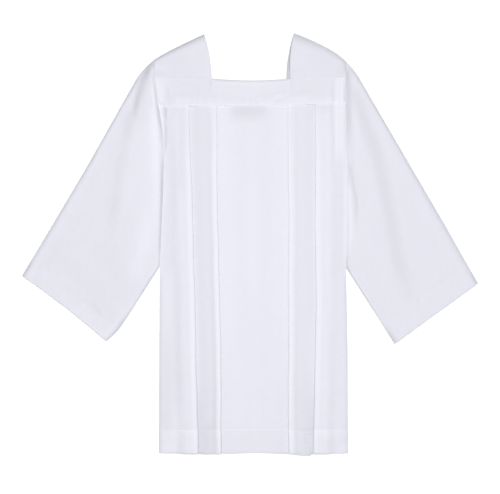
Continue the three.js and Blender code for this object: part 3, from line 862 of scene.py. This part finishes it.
# Puckers along the seam and at the right armhole
band_creases = [
    crease(0.55, 3.2, (2, 768), (24, 771), (52, 772)),
    crease(0.6, 3.6, (40, 775), (62, 781), (88, 779)),
    crease(0.4, 3.2, (104, 776), (120, 780), (136, 778)),
    crease(0.4, 3.4, (-170, 772), (-150, 776), (-128, 774)),
    crease(0.3, 3.0, (-110, 770), (-88, 773), (-60, 772)),
    crease(-0.8, 3.2, (-186, 806), (-183.5, 788), (-185, 768)),
    crease(0.9, 5.0, (-199, 812), (-198, 790), (-192, 762)),
    crease(1.4, 11, (192, 832), (192, 790), (192, 740), grown=0.05, kept=0.95, flatness=4),
    crease(-0.5, 2.2, (168, 790), (172, 786), (176, 783)),
    crease(0.25, 5.0, (-150, 810), (-60, 806), (-10, 806)),
]

# Painted highlights on the puckers where the band is drawn in along its stitching, and painted light along
# its lower edge and at its left end
band_painted_highlights = [
    crease(1.8, 3.2, (10, 761), (44, 766), (58, 775), (80, 777), grown=0.2, kept=0.8),
    crease(1.3, 3.0, (76, 772), (96, 773), (124, 772), grown=0.2, kept=0.8),
    crease(1.3, 3.0, (-168, 766), (-150, 770), (-128, 768), grown=0.2, kept=0.8),
]
band_white = 0.7
band_edge_painted_light = 3.2
band_end_painted_light = 4.0
band_edge_fall = 0.35
band_edge_turn = 2.5
band_end_turn = 9
back_band_level = 0.47


def corner_at(x, leaf):
    """How far out the neck corner lies on the side of each x."""
    return np.where(x < 0, -neck_corners[leaf]["left"], neck_corners[leaf]["right"])


def band_top_at(x, leaf, sag):
    reach, corner = np.abs(x), corner_at(x, leaf)
    left, right = (read_at(side_seams, side, armhole_seam_height) for side in ("left", "right"))
    armhole = np.where(x < 0, -left, right)
    sagging = neck_seam_height - sag * (1 - (reach / corner) ** 2)
    seam = between(neck_seam_height, armhole_seam_height, (reach - corner) / (armhole - corner))
    return np.where(reach < corner, sagging, seam)


def spread_columns(count, length, near):
    """Shares along a length: close together at both ends, even between."""
    ends = near / length
    return np.concatenate([ends, np.linspace(ends[-1], 1 - ends[-1], count)[1:-1], 1 - ends[::-1]])


def band_plan(shares, leaf, sag):
    """x and y of a band: its lower edge on the yoke seam, its ends on the armhole seams."""
    rows = []
    for share in shares:
        left, right = (
            float(read_at(side_seams, side, between(yoke_seam[side], armhole_seam_height, share)))
            for side in ("left", "right")
        )
        x = between(left, right, spread_columns(band_columns, right - left, band_drops))
        rows.append(np.stack([x, between(yoke_seam_at(x), band_top_at(x, leaf, sag), share)], axis=1))
    return np.array(rows)


def panel_top_at(x, y):
    """Height of the pleated panel's top, bridged from fold to fold, where the band rests on it."""
    total = np.zeros_like(x)
    for side, sign in (("left", -1), ("right", 1)):
        half = half_section(side, yoke_seam[side])
        u = -sign * x
        outer_fold, inner_fold = half.folds
        climbed = smooth(outer_fold - outer_climb, outer_fold - pleat_depth - half.ply, u)
        rise = climbed * (1 - smooth(inner_fold + 1, inner_fold + 30, u))
        stack = half.ply + max(2 * half.roll, half.ply)
        total = np.where(u <= 0, front_level(half, u) + cloth / 2 + stack * rise, total)
    return total + np.maximum(0, front_relief(x, np.minimum(y, yoke_seam_at(x) + band_lap)))


band_shares = spread_columns(22, 60, np.array([0, 0.3, 0.9, 1.8, 3.2]))
front_band_plan = band_plan(band_shares, "front", front_neck_sag)
band_x, band_y = front_band_plan[..., 0], front_band_plan[..., 1]
seam_y = yoke_seam_at(band_x)
from_seam = band_y - seam_y
from_top = band_top_at(band_x, "front", front_neck_sag) - band_y
from_end = np.minimum(band_x - band_x[:, :1], band_x[:, -1:] - band_x)
on_neck = np.abs(band_x) < corner_at(band_x, "front")
lowered = (from_seam - band_clear) / (neck_seam_height - front_neck_sag - seam_y - band_clear)
lowered = np.clip(lowered, 0, 1)
band_z = between(panel_top_at(band_x, band_y) + 0.1 + band_cloth / 2, band_top_level, lowered)
band_z = band_z + 0.12 * ripples(band_x, band_y, 60, 21) * (1 - smooth(0.9, 1, lowered))
band_z = band_z + 0.14 * bell(from_seam - 2, 7) * np.sin(band_x / 3.1 + 1.8 * np.sin(band_x / 19))
band_z = band_z + creased(band_x, band_y, band_creases)
band_z = band_z - band_edge_fall * (1 - rounded_edge(from_seam, band_edge_turn))
neck_fall = np.where(on_neck, neck_roll["fall"], strap_side_roll["fall"])
neck_turn = np.where(on_neck, neck_roll["turn"], strap_side_roll["turn"])
band_z = band_z - neck_fall * (1 - rounded_edge(from_top, neck_turn))
band_z = band_z + neck_roll["rise"] * on_neck * (1 - smooth(5, 42, from_top))
end_levels = [read_at(seam_levels, side, band_y) for side in ("left", "right")]
band_z = between(np.where(band_x < 0, *end_levels), band_z, rounded_edge(from_end, band_end_turn))
# Painted light at the band's lower edge and left end, and painted highlights on its puckers
front_band_white = (
    band_white + allowance_white * armhole_allowance(band_x, band_y)
    + band_end_painted_light * bell(band_x - band_x[:, :1] - 2, 6) + band_edge_painted_light * bell(from_seam, band_edge_turn)
    + creased(band_x, band_y, band_painted_highlights)
)
front_band = make_cloth(
    "front_yoke_band_cloth", np.stack([band_x, band_y, band_z], axis=-1), band_cloth, front_band_white,
    poly_cotton("front_band_cotton", turned=math.pi / 2, offset=90.0), relief_reach=5,
)
front_band_stitches = make_stitches(
    "front_band_stitches", *[surface_line(front_band, row) for row in band_stitch_rows]
)
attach(front_band.piece, "root")
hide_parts("front_yoke_band")

back_band_plan = band_plan(np.linspace(0, 1, 14), "back", back_neck_sag)
back_band_lift = 0.12 * (1 + ripples(back_band_plan[..., 0], back_band_plan[..., 1], 50, 33))
back_band = make_cloth(
    "back_yoke_band_cloth", np.dstack([back_band_plan, back_band_level + back_band_lift]), band_cloth, 1.0,
    poly_cotton("back_band_cotton", turned=math.pi / 2, offset=140.0),
)
back_band_stitches = make_stitches(
    "back_band_stitches", surface_line(back_band, 1, -1), surface_line(back_band, -2, -1)
)
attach(back_band.piece, "root")
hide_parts("back_yoke_band")

# The shoulder straps
# One piece each, folded over the shoulder: a front leaf sewn to the front band and a back leaf sewn to the
# back band, with a narrow turned neck edge.

strap_cloth = 0.6
strap_low = {"front": 2.1, "back": 0.3}
strap_swell = 4.2
strap_swell_width = 11
strap_width = 112
strap_lengths = {"neck": 97, "armhole": 40}
strap_edge_fall = 0.9
strap_edge_turn = 3.5
strap_armhole_turn = 10
# neck_shade is painted shade on the back leaf at the neck, fold_shade painted shade along the shoulder fold
straps = {
    "left": {
        "neck_point": (-103.3, 913.2), "shoulder_bend": (-196.8, 870.0), "shoulder_y": 855.5,
        "front": {"bend": (-89.5, 868), "corner": (-86.8, 816)},
        "back": {"bend": (-92.5, 868), "corner": (-90.6, 816)},
        "neck_lift": 1.0, "neck_shade": 1.0, "fold_shade": 7.5, "weave_offset": 200.0,
    },
    "right": {
        "neck_point": (93.2, 915.4), "shoulder_bend": (180.0, 882.4), "shoulder_y": 852.6,
        "front": {"bend": (81.5, 874), "corner": (84.2, 816)},
        "back": {"bend": (77.0, 868), "corner": (76.0, 816)},
        "neck_lift": 5.6, "neck_shade": 5.0, "fold_shade": 2.6, "weave_offset": 260.0,
    },
}
strap_creases = {
    "left": [
        crease(0.9, 8, (-200, 848), (-186, 832), (-176, 824)),
        crease(0.7, 12, (-118, 900), (-128, 870), (-140, 840)),
        crease(-0.5, 9, (-104, 876), (-108, 850), (-106, 826)),
    ],
    "right": [
        crease(1.4, 8, (190, 850), (186, 836), (188, 822)),
        crease(0.7, 12, (112, 896), (124, 866), (120, 836)),
        crease(-0.6, 10, (150, 880), (154, 856), (146, 830)),
        crease(-0.5, 2.2, (150, 831), (165, 830.5), (180, 830)),
    ],
}
strap_tone = 0.963
strap_whites = {"plain": 0.7, "seam": 1.1}
strap_columns = spread_columns(30, 120, np.array([0, 0.3, 0.9, 2.0, 3.6]))
front_steps_down = np.concatenate([[0, 0.01, 0.03, 0.06, 0.1], np.linspace(0.15, 0.97, 18), [0.985, 1]])
back_steps_down = np.linspace(0, 1, 17)
fold_degrees = np.linspace(70, -70, 7)


def bent(start, bend, end, share):
    """The point at a share of a curve from start to end that is drawn towards the bend."""
    first = [between(a, b, share) for a, b in zip(start, bend)]
    second = [between(b, c, share) for b, c in zip(bend, end)]
    return [between(a, b, share) for a, b in zip(first, second)]


def strap_plan(side, leaf, along, down):
    """x and y on a strap: along from the neck to the armhole, down from the shoulder fold to the band."""
    strap = straps[side]
    neck_point, corner = strap["neck_point"], strap[leaf]["corner"]
    shoulder = (float(read_at(side_seams, side, strap["shoulder_y"])), strap["shoulder_y"])
    armhole_end = (float(read_at(side_seams, side, armhole_seam_height)), armhole_seam_height)
    armhole_y = between(strap["shoulder_y"], armhole_seam_height, down)
    armhole = [read_at(side_seams, side, armhole_y), armhole_y]
    top = bent(neck_point, strap["shoulder_bend"], shoulder, along)
    bottom = [between(a, b, along) for a, b in zip(corner, armhole_end)]
    neck = bent(neck_point, strap[leaf]["bend"], corner, down)
    plan = []
    for axis in (0, 1):
        corners = between(between(neck_point[axis], shoulder[axis], along), bottom[axis], down)
        ways = between(top[axis], bottom[axis], down) + between(neck[axis], armhole[axis], along)
        plan.append(ways - corners)
    return np.array(plan)


def neck_puff(from_neck, down):
    """Share of the lift that the strap has beside the neck, between its fold and its seam."""
    return (1 - smooth(10, 60, from_neck)) * smooth(0, 0.28, down) * (1 - smooth(0.7, 1, down))


def front_leaf_level(side, x, y, along, down):
    length = strap_lengths["armhole"]
    from_fold = down * (length if along > 0.9 else between(strap_lengths["neck"], length, along))
    from_neck, from_armhole = along * strap_width, (1 - along) * strap_width
    swelled = strap_swell * rounded_edge(from_fold, strap_swell_width)
    level = strap_low["front"] + between(swelled, band_top_level - strap_low["front"], smooth(0.35, 1, down))
    folds = creased(x, y, strap_creases[side]) + 0.25 * ripples(x, y, 55, 40)
    level += folds * smooth(0, 8, from_fold) * (1 - smooth(0.85, 1, down))
    level += straps[side]["neck_lift"] * neck_puff(from_neck, down)
    level -= strap_edge_fall * (1 - rounded_edge(from_neck, strap_edge_turn))
    level -= 0.2 * (1 - rounded_edge((1 - down) * 60, 3))
    return between(read_at(seam_levels, side, y), level, rounded_edge(from_armhole, strap_armhole_turn))


def strap_grid(side):
    """The strap from the front band up to the fold and down to the back band. Rows run down the strap."""
    low = strap_low["back"]
    radius = (strap_low["front"] - low) / 2
    reach = radius + strap_cloth / 2
    rows = []
    for along in strap_columns:
        points = []
        for down in front_steps_down[::-1]:
            x, y = strap_plan(side, "front", along, down)
            y = y - reach * (1 - down)
            points.append((x, y, front_leaf_level(side, x, y, along, down)))
        x, y = strap_plan(side, "front", along, 0)
        for angle in np.radians(fold_degrees):
            points.append((x, y - reach + radius * math.cos(angle), low + radius + radius * math.sin(angle)))
        for down in back_steps_down:
            x, y = strap_plan(side, "back", along, down)
            puff = (straps[side]["neck_lift"] - 0.6) * neck_puff(along * strap_width, down)
            points.append((x, y - reach * (1 - down), low + puff * smooth(0, 12, along * strap_width)))
        rows.append(points)
    return np.array(rows, float)


def strap_plies_and_painted_shade(side):
    """The front leaf is double at its turned edge over the shoulder, which is painted with shade, and paler
    towards its seam. The back leaf is painted with shade at the neck, where it lies in the front leaf's
    shade.
    """
    downwards = front_steps_down[::-1]
    turned, lower = np.zeros(len(fold_degrees)), np.zeros(len(back_steps_down))
    at_fold = np.concatenate([np.interp(downwards, [0, 0.24], [1, 0]), turned + 1, lower])
    at_seam = np.concatenate([smooth(0.45, 1, downwards), turned, lower])
    on_back = np.concatenate([0 * downwards, turned, lower + 1])
    at_neck = 1 - smooth(8, 16, strap_columns * strap_width)
    shade = straps[side]["neck_shade"] * at_neck[:, None] * on_back[None, :]
    shade = shade + straps[side]["fold_shade"] * at_fold[None, :] ** 2
    return strap_whites["plain"] - shade + strap_whites["seam"] * at_seam[None, :]


for side in ("left", "right"):
    strap = make_cloth(
        f"{side}_strap_cloth", strap_grid(side), strap_cloth, strap_plies_and_painted_shade(side),
        poly_cotton(f"{side}_strap_cotton", tone=strap_tone, offset=straps[side]["weave_offset"]),
    )
    strap_stitches = make_stitches(
        f"{side}_strap_stitches", surface_line(strap, np.s_[:, 2]), surface_line(strap, 3)
    )
    strap_piece = strap.piece
    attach(strap_piece, "root")
    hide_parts(f"{side}_shoulder_strap")

# The sleeves
# Wide straight tubes, folded flat along the overarm and seamed under the arm. The cloth stands in a soft
# ridge beside the armhole, falls into a long trough towards the elbow and ends in a turned cuff hem.

sleeve_low = 0.25
sleeve_fold_radius = 0.7
sleeve_swell = 4.9
sleeve_swell_width = 12
sleeve_parts = {
    "left": {
        "shoulder": (-214.0, 855.5), "head_bend": (-238.7, 836.2), "head_end": (-254.3, 809.4),
        "overarm_bend": (-360.4, 620.9), "cuff_outer": (-499.6, 387.0), "cuff_inner": (-315.4, 243.8),
        "underarm_bends": [(-268.5, 298.9), (-286.5, 272.7), (-297.4, 260.2)], "armpit": (-199.6, 407.0),
        "shoulder_turn": 22, "shoulder_swell": 7.6, "cuff_hem": 40, "cuff_hollow": 4.0, "cuff_white": 0.7,
        "weave_turn": 0.55, "weave_offset": 320.0,
    },
    "right": {
        "shoulder": (207.0, 852.6), "head_bend": (223.6, 837.1), "head_end": (236.1, 815.5),
        "overarm_bend": (421.4, 498.2), "cuff_outer": (493.6, 370.2), "cuff_inner": (311.9, 238.2),
        "underarm_bends": [], "armpit": (206.0, 404.0),
        "shoulder_turn": 15, "shoulder_swell": 5.4, "cuff_hem": 47, "cuff_hollow": 0.8, "cuff_white": 0.1,
        "weave_turn": -0.55, "weave_offset": 410.0,
    },
}

# The left sleeve's cloth stands up beside the trough: steep on the path, then level, then easing away
left_ridge = {
    "path": [(-227.8, 826.7), (-243, 783), (-254, 745.7), (-260.6, 723.8), (-273.8, 662.5), (-287, 597),
             (-298, 500), (-304, 420)],
    "height": 4.8, "steep": 34, "gentle": 80,
}
sleeve_creases = {
    "left": [
        crease(3.2, 12, (-213, 830), (-213, 740), (-208, 650), (-209, 560), (-214, 440)),
        crease(-3.5, 8, (-225.6, 846.4), (-240.9, 804.8), (-254, 761), (-262.8, 717), grown=0.05),
        crease(-1.6, 3.4, (-222, 800), (-219, 760), (-218, 730)),
        crease(1.3, 22, (-250, 560), (-236, 470), (-226, 420)),
        crease(0.9, 5, (-420, 560), (-405, 535), (-380, 515)),
        crease(-0.7, 4, (-424, 530), (-402, 518), (-386, 508)),
        crease(0.9, 16, (-470, 420), (-400, 372), (-330, 320)),
        crease(-1.0, 6, (-350, 330), (-340, 312), (-322, 296)),
        crease(0.8, 6, (-390, 300), (-372, 318), (-352, 326)),
        crease(0.9, 10, (-300, 740), (-330, 690), (-360, 640)),
        crease(-0.6, 5, (-440, 430), (-446, 408), (-440, 388)),
    ],
    "right": [
        crease(-2.6, 6.5, (210, 826), (210.5, 740), (213, 668), (219, 597), (226.5, 536), (238, 480),
               grown=0.1),
        crease(1.4, 8, (224, 806), (232, 720), (242, 640)),
        crease(-3.2, 15, (217, 808), (231, 768), (244, 734), (271, 662), (288, 597), (302, 520), (317, 443),
               (326, 367), (331, 322), grown=0.06, kept=0.8),
        crease(1.2, 20, (262, 600), (256, 500), (240, 420)),
        crease(1.0, 18, (355, 570), (380, 520), (400, 460)),
        crease(1.0, 4, (356, 345), (359, 330), (357, 312)),
        crease(-0.9, 4, (372, 352), (370, 332), (374, 318)),
        crease(0.9, 6, (330, 300), (352, 286), (372, 290)),
        crease(0.8, 12, (430, 400), (404, 372), (366, 360)),
        crease(0.8, 9, (330, 740), (344, 700), (362, 660)),
    ],
}

# Painted shade and light: where the sleeves look greyer or paler than the rest
sleeve_painted_shading = {
    "left": [
        crease(-9, 8, (-211, 856), (-216.8, 847.5), (-226.7, 834.4), (-233.2, 821.3), grown=0.02, kept=0.6),
        crease(-4, 8, (-226.7, 834.4), (-233.2, 821.3), (-245.3, 794), (-260.6, 728), grown=0.1, kept=0.4),
        crease(-2.6, 15, (-222, 836), (-228, 800), (-234, 760), (-240, 700), grown=0.1, kept=0.5),
        crease(-1.4, 11, (-258, 760), (-269, 728), (-278, 680)),
        crease(1.9, 18, (-212, 770), (-212, 700), (-219, 560), (-228, 450), (-240, 370), grown=0.25,
               kept=0.8),
        crease(1.3, 18, (-240, 520), (-250, 430), (-262, 340), grown=0.3, kept=0.7),
        crease(-4.0, 4.2, (-194, 650), (-196, 540), (-200, 425), grown=0.1, kept=0.9),
        crease(4.4, 5.0, (-212, 818), (-207.5, 780), (-201, 742), grown=0.15, kept=0.7),
        crease(-4, 7, (-500, 386), (-490, 401), (-476, 424), grown=0.02),
        crease(-4, 6, (-314, 243), (-303, 254), (-290, 272), (-272, 300), grown=0.02),
    ],
    "right": [
        crease(-4.6, 6.5, (211, 842), (211.5, 790), (211.5, 700), (213, 650), grown=0.1, kept=0.55),
        crease(-4.0, 3.6, (213, 640), (219, 597), (229, 545), (225, 480), grown=0.15),
        crease(3.0, 6, (209, 610), (214, 540), (216, 475), (208, 415), grown=0.2),
        crease(-2.0, 13, (217, 808), (231, 768), (244, 734), (271, 662), (288, 597), (302, 520), (317, 443),
               (326, 367), (331, 322), grown=0.06, kept=0.7),
        crease(-1.3, 13, (322, 440), (340, 370), (348, 310)),
        crease(4.0, 2.6, (212, 402), (250, 345), (290, 281), (300, 266), grown=0.1, kept=0.85),
        crease(-4, 6, (494, 370), (486, 384), (478, 398), grown=0.02),
        crease(-4, 7, (312, 238), (304, 250), (292, 268), grown=0.02),
    ],
}
armhole_steps = [0, 0.5, 1.4, 2.8, 4.8, 7.5, 11, 15, 20, 26, 34, 44]
edge_steps = np.array([0, 0.4, 1.1, 2.2, 4.0, 6.5, 10, 14.5, 20])
hem_steps = np.array([0, 1.2, 4])
cuff_end_steps = np.array([4, 1.6, 0.6, 0])
lower_columns = 22
upper_columns = 52
sleeve_rows = 84
head_points = 30
sleeve_armhole_turn = 14
sleeve_deepest = -3.2
sleeve_fold_degrees = np.linspace(-60, 60, 5)


def ridge_height(x, y, ridge):
    distance, share = beside_path(x, y, ridge["path"])
    half = ridge["steep"] / 2
    taper = smooth(0, 0.06, share) * (1 - smooth(0.7, 1, share))
    rise = smooth(-half, half, distance) * (1 - smooth(half, ridge["gentle"], distance))
    return ridge["height"] * taper * rise


def sleeve_stops(length, hem):
    """Distances down the sleeve from the armhole to the cuff, in the same number whatever the length."""
    spread = np.linspace(armhole_steps[-1], length - hem - hem_steps[1], sleeve_rows)[1:]
    at_hem = length - hem + hem_steps
    down_hem = np.linspace(at_hem[-1], length - cuff_end_steps[0], 8)[1:-1]
    return np.concatenate([armhole_steps, spread, at_hem, down_hem, length - cuff_end_steps])


def add_sleeve_folds(grid, side, columns, over, under, shares):
    upper = grid[:, columns]
    x, y = upper[..., 0], upper[..., 1]
    from_armhole = between(over[:, None], under[:, None], shares[None, :])
    ends = np.stack([upper[:, :1, :2], upper[:, -1:, :2]])
    from_edge = np.minimum(*np.linalg.norm(upper[None, ..., :2] - ends, axis=-1))
    past_hem = sleeve_parts[side]["cuff_hem"] - (over[-1] - over[:, None])
    height = 0.55 * ripples(x, y, 120, 70) + 0.1 * ripples(x, y, 30, 74) + creased(x, y, sleeve_creases[side])
    if side == "left":
        height = height + ridge_height(x, y, left_ridge)
    height = height + 0.1 * bell(past_hem, 6) * np.sin(y / 3.3 + 1.5 * np.sin(y / 27))
    height = height - stitch_groove * bell(past_hem - 1.5, 1.5)
    height = height * smooth(0, 14, from_edge) * smooth(0, 9, from_armhole)
    upper[..., 2] += np.maximum(height, sleeve_deepest)


def sleeve_grid(side):
    """Rings from the armhole to the cuff: the leaf on the surface, the underarm fold, the upper leaf and the
    overarm fold."""
    part = sleeve_parts[side]
    head = bent(part["shoulder"], part["head_bend"], part["head_end"], np.linspace(0, 1, head_points))
    overarm = np.vstack([np.array(head).T, part["overarm_bend"], part["cuff_outer"]])
    underarm = np.array([part["armpit"], *part["underarm_bends"], part["cuff_inner"]])
    over_walked, under_walked = walked_down(overarm), walked_down(underarm)
    over = sleeve_stops(over_walked[-1], part["cuff_hem"])
    under = sleeve_stops(under_walked[-1], part["cuff_hem"])
    up_arm = unit(np.array(part["shoulder"]) - np.array(part["cuff_outer"]))
    reach = sleeve_fold_radius + cloth / 2
    radius, lowest = sleeve_fold_radius, sleeve_low + 2 * sleeve_fold_radius
    folds = np.radians(sleeve_fold_degrees)
    rows = []
    for stop_over, stop_under in zip(over, under):
        row_share = stop_over / over_walked[-1]
        top, bottom = spot_on(overarm, over_walked, stop_over), spot_on(underarm, under_walked, stop_under)
        width = math.dist(top, bottom)
        down = (bottom - top) / width

        def plan_at(v, out=0.0, top=top, bottom=bottom, down=down, row_share=row_share):
            inset = reach * (1 - 2 * v)
            level = between(part["shoulder"][1], part["armpit"][1], v) - inset
            bulge = read_at(side_seams, side, level) - between(part["shoulder"][0], part["armpit"][0], v)
            hollow = part["cuff_hollow"] * 4 * v * (1 - v) * smooth(0.7, 1, row_share)
            spot = between(top, bottom, v) + down * (inset + out) + up_arm * hollow
            return spot + np.array([bulge * (1 - row_share), 0])

        def turned_over(v, sign, angles):
            return [
                (*plan_at(v, sign * radius * math.cos(angle)), sleeve_low + radius * (1 + math.sin(angle)))
                for angle in angles
            ]

        near = edge_steps / width
        far = 1 - near[::-1]
        upper = np.concatenate([near, np.linspace(near[-1], far[0], upper_columns)[1:-1], far])
        points = [(*plan_at(v), sleeve_low) for v in np.linspace(0, 1, lower_columns)]
        points += turned_over(1.0, 1, folds)
        for v in upper[::-1]:
            x, y = plan_at(v)
            at_head = (1 - smooth(10, 120, stop_over)) * (v < 0.5)
            turn = between(sleeve_swell_width, part["shoulder_turn"], at_head)
            swell = between(sleeve_swell, part["shoulder_swell"], at_head * (1 - smooth(0.2, 0.5, v)))
            edge_share = rounded_edge(min(v, 1 - v) * width, turn)
            at_seam = read_at(seam_levels, side, y) - lowest
            from_armhole = between(stop_over, stop_under, v)
            lift = edge_share * between(at_seam, swell, rounded_edge(from_armhole, sleeve_armhole_turn))
            points.append((x, y, lowest + lift))
        points += turned_over(0.0, -1, folds[::-1])
        rows.append(points)
    grid = np.array(rows, float)
    upper_from = lower_columns + len(folds)
    add_sleeve_folds(grid, side, slice(upper_from, upper_from + len(upper)), over, under, upper[::-1])
    lower = grid[:, 1:lower_columns - 1]
    lower_lift = 0.16 * (1 + ripples(lower[..., 0], lower[..., 1], 90, 60))
    lower[..., 2] += lower_lift * smooth(0, 20, over)[:, None]
    hems = over > over_walked[-1] - part["cuff_hem"]
    return grid, np.array(hems, float)[:, None]


for side in ("left", "right"):
    part = sleeve_parts[side]
    grid, hems = sleeve_grid(side)
    on_top = grid[..., 2] > 1.2
    # Painted shade and light on the upper leaf
    sleeve_painted_tones = creased(grid[..., 0], grid[..., 1], sleeve_painted_shading[side])
    sleeve = make_cloth(
        f"{side}_sleeve_cloth", grid, between(cloth, turned_cloth, hems),
        part["cuff_white"] * hems + sleeve_painted_tones * on_top,
        poly_cotton(f"{side}_sleeve_cotton", turned=part["weave_turn"], offset=part["weave_offset"]),
        ring=True,
    )
    cuff_row = len(hems) - int(hems.sum()) + 1
    cuff_stitches = make_stitches(f"{side}_cuff_stitches", surface_line(sleeve, cuff_row))
    sleeve_piece = sleeve.piece
    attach(sleeve_piece, "root")
    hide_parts(f"{side}_sleeve")

# The surface, the light and the camera
# A plain pale surface under one wide soft light overhead, a little towards the right shoulder, with an even
# pale room around. The camera looks straight down from far above.

surface_half = 4
surface_level = -0.0002
room_strength = 0.16
softbox_width = 2.4
softbox_power = 129
softbox_place = (0.1, 0.12, 3.4)
camera_height = 4.0
view_width = 1.0905
film_width = 36

surface_mesh = bpy.data.meshes.new("surface")
surface_corners = [
    (x * surface_half, y * surface_half, surface_level) for x, y in ((-1, -1), (1, -1), (1, 1), (-1, 1))
]
surface_mesh.from_pydata(surface_corners, [], [(0, 1, 2, 3)])
surface = bpy.data.objects.new("surface", surface_mesh)
bpy.context.scene.collection.objects.link(surface)
surface_finish, _, surface_shader = new_finish("pale_surface")
feed(surface_shader, {"Base Color": (0.97, 0.97, 0.975, 1), "Roughness": 1.0, "Specular IOR Level": 0.0})
surface_mesh.materials.append(surface_finish)

room_light = bpy.data.worlds.new("pale_room")
room_light.use_nodes = True
feed(room_light.node_tree.nodes["Background"], {"Color": (1, 1, 1, 1), "Strength": room_strength})
bpy.context.scene.world = room_light

softbox = bpy.data.lights.new("softbox", "AREA")
softbox.shape = "DISK"
softbox.size = softbox_width
softbox.energy = softbox_power
softbox_object = bpy.data.objects.new("softbox", softbox)
softbox_object.location = softbox_place
softbox_object.rotation_euler = (
    -math.atan2(softbox_place[1], softbox_place[2]), math.atan2(softbox_place[0], softbox_place[2]), 0,
)
bpy.context.scene.collection.objects.link(softbox_object)

camera = bpy.data.cameras.new("camera")
camera.sensor_width = film_width
camera.lens = film_width * camera_height / view_width
camera_object = bpy.data.objects.new("camera", camera)
camera_object.location = (-0.0001, -0.00606, camera_height)
bpy.context.scene.collection.objects.link(camera_object)
bpy.context.scene.camera = camera_object
bpy.context.scene.view_settings.view_transform = "Standard"
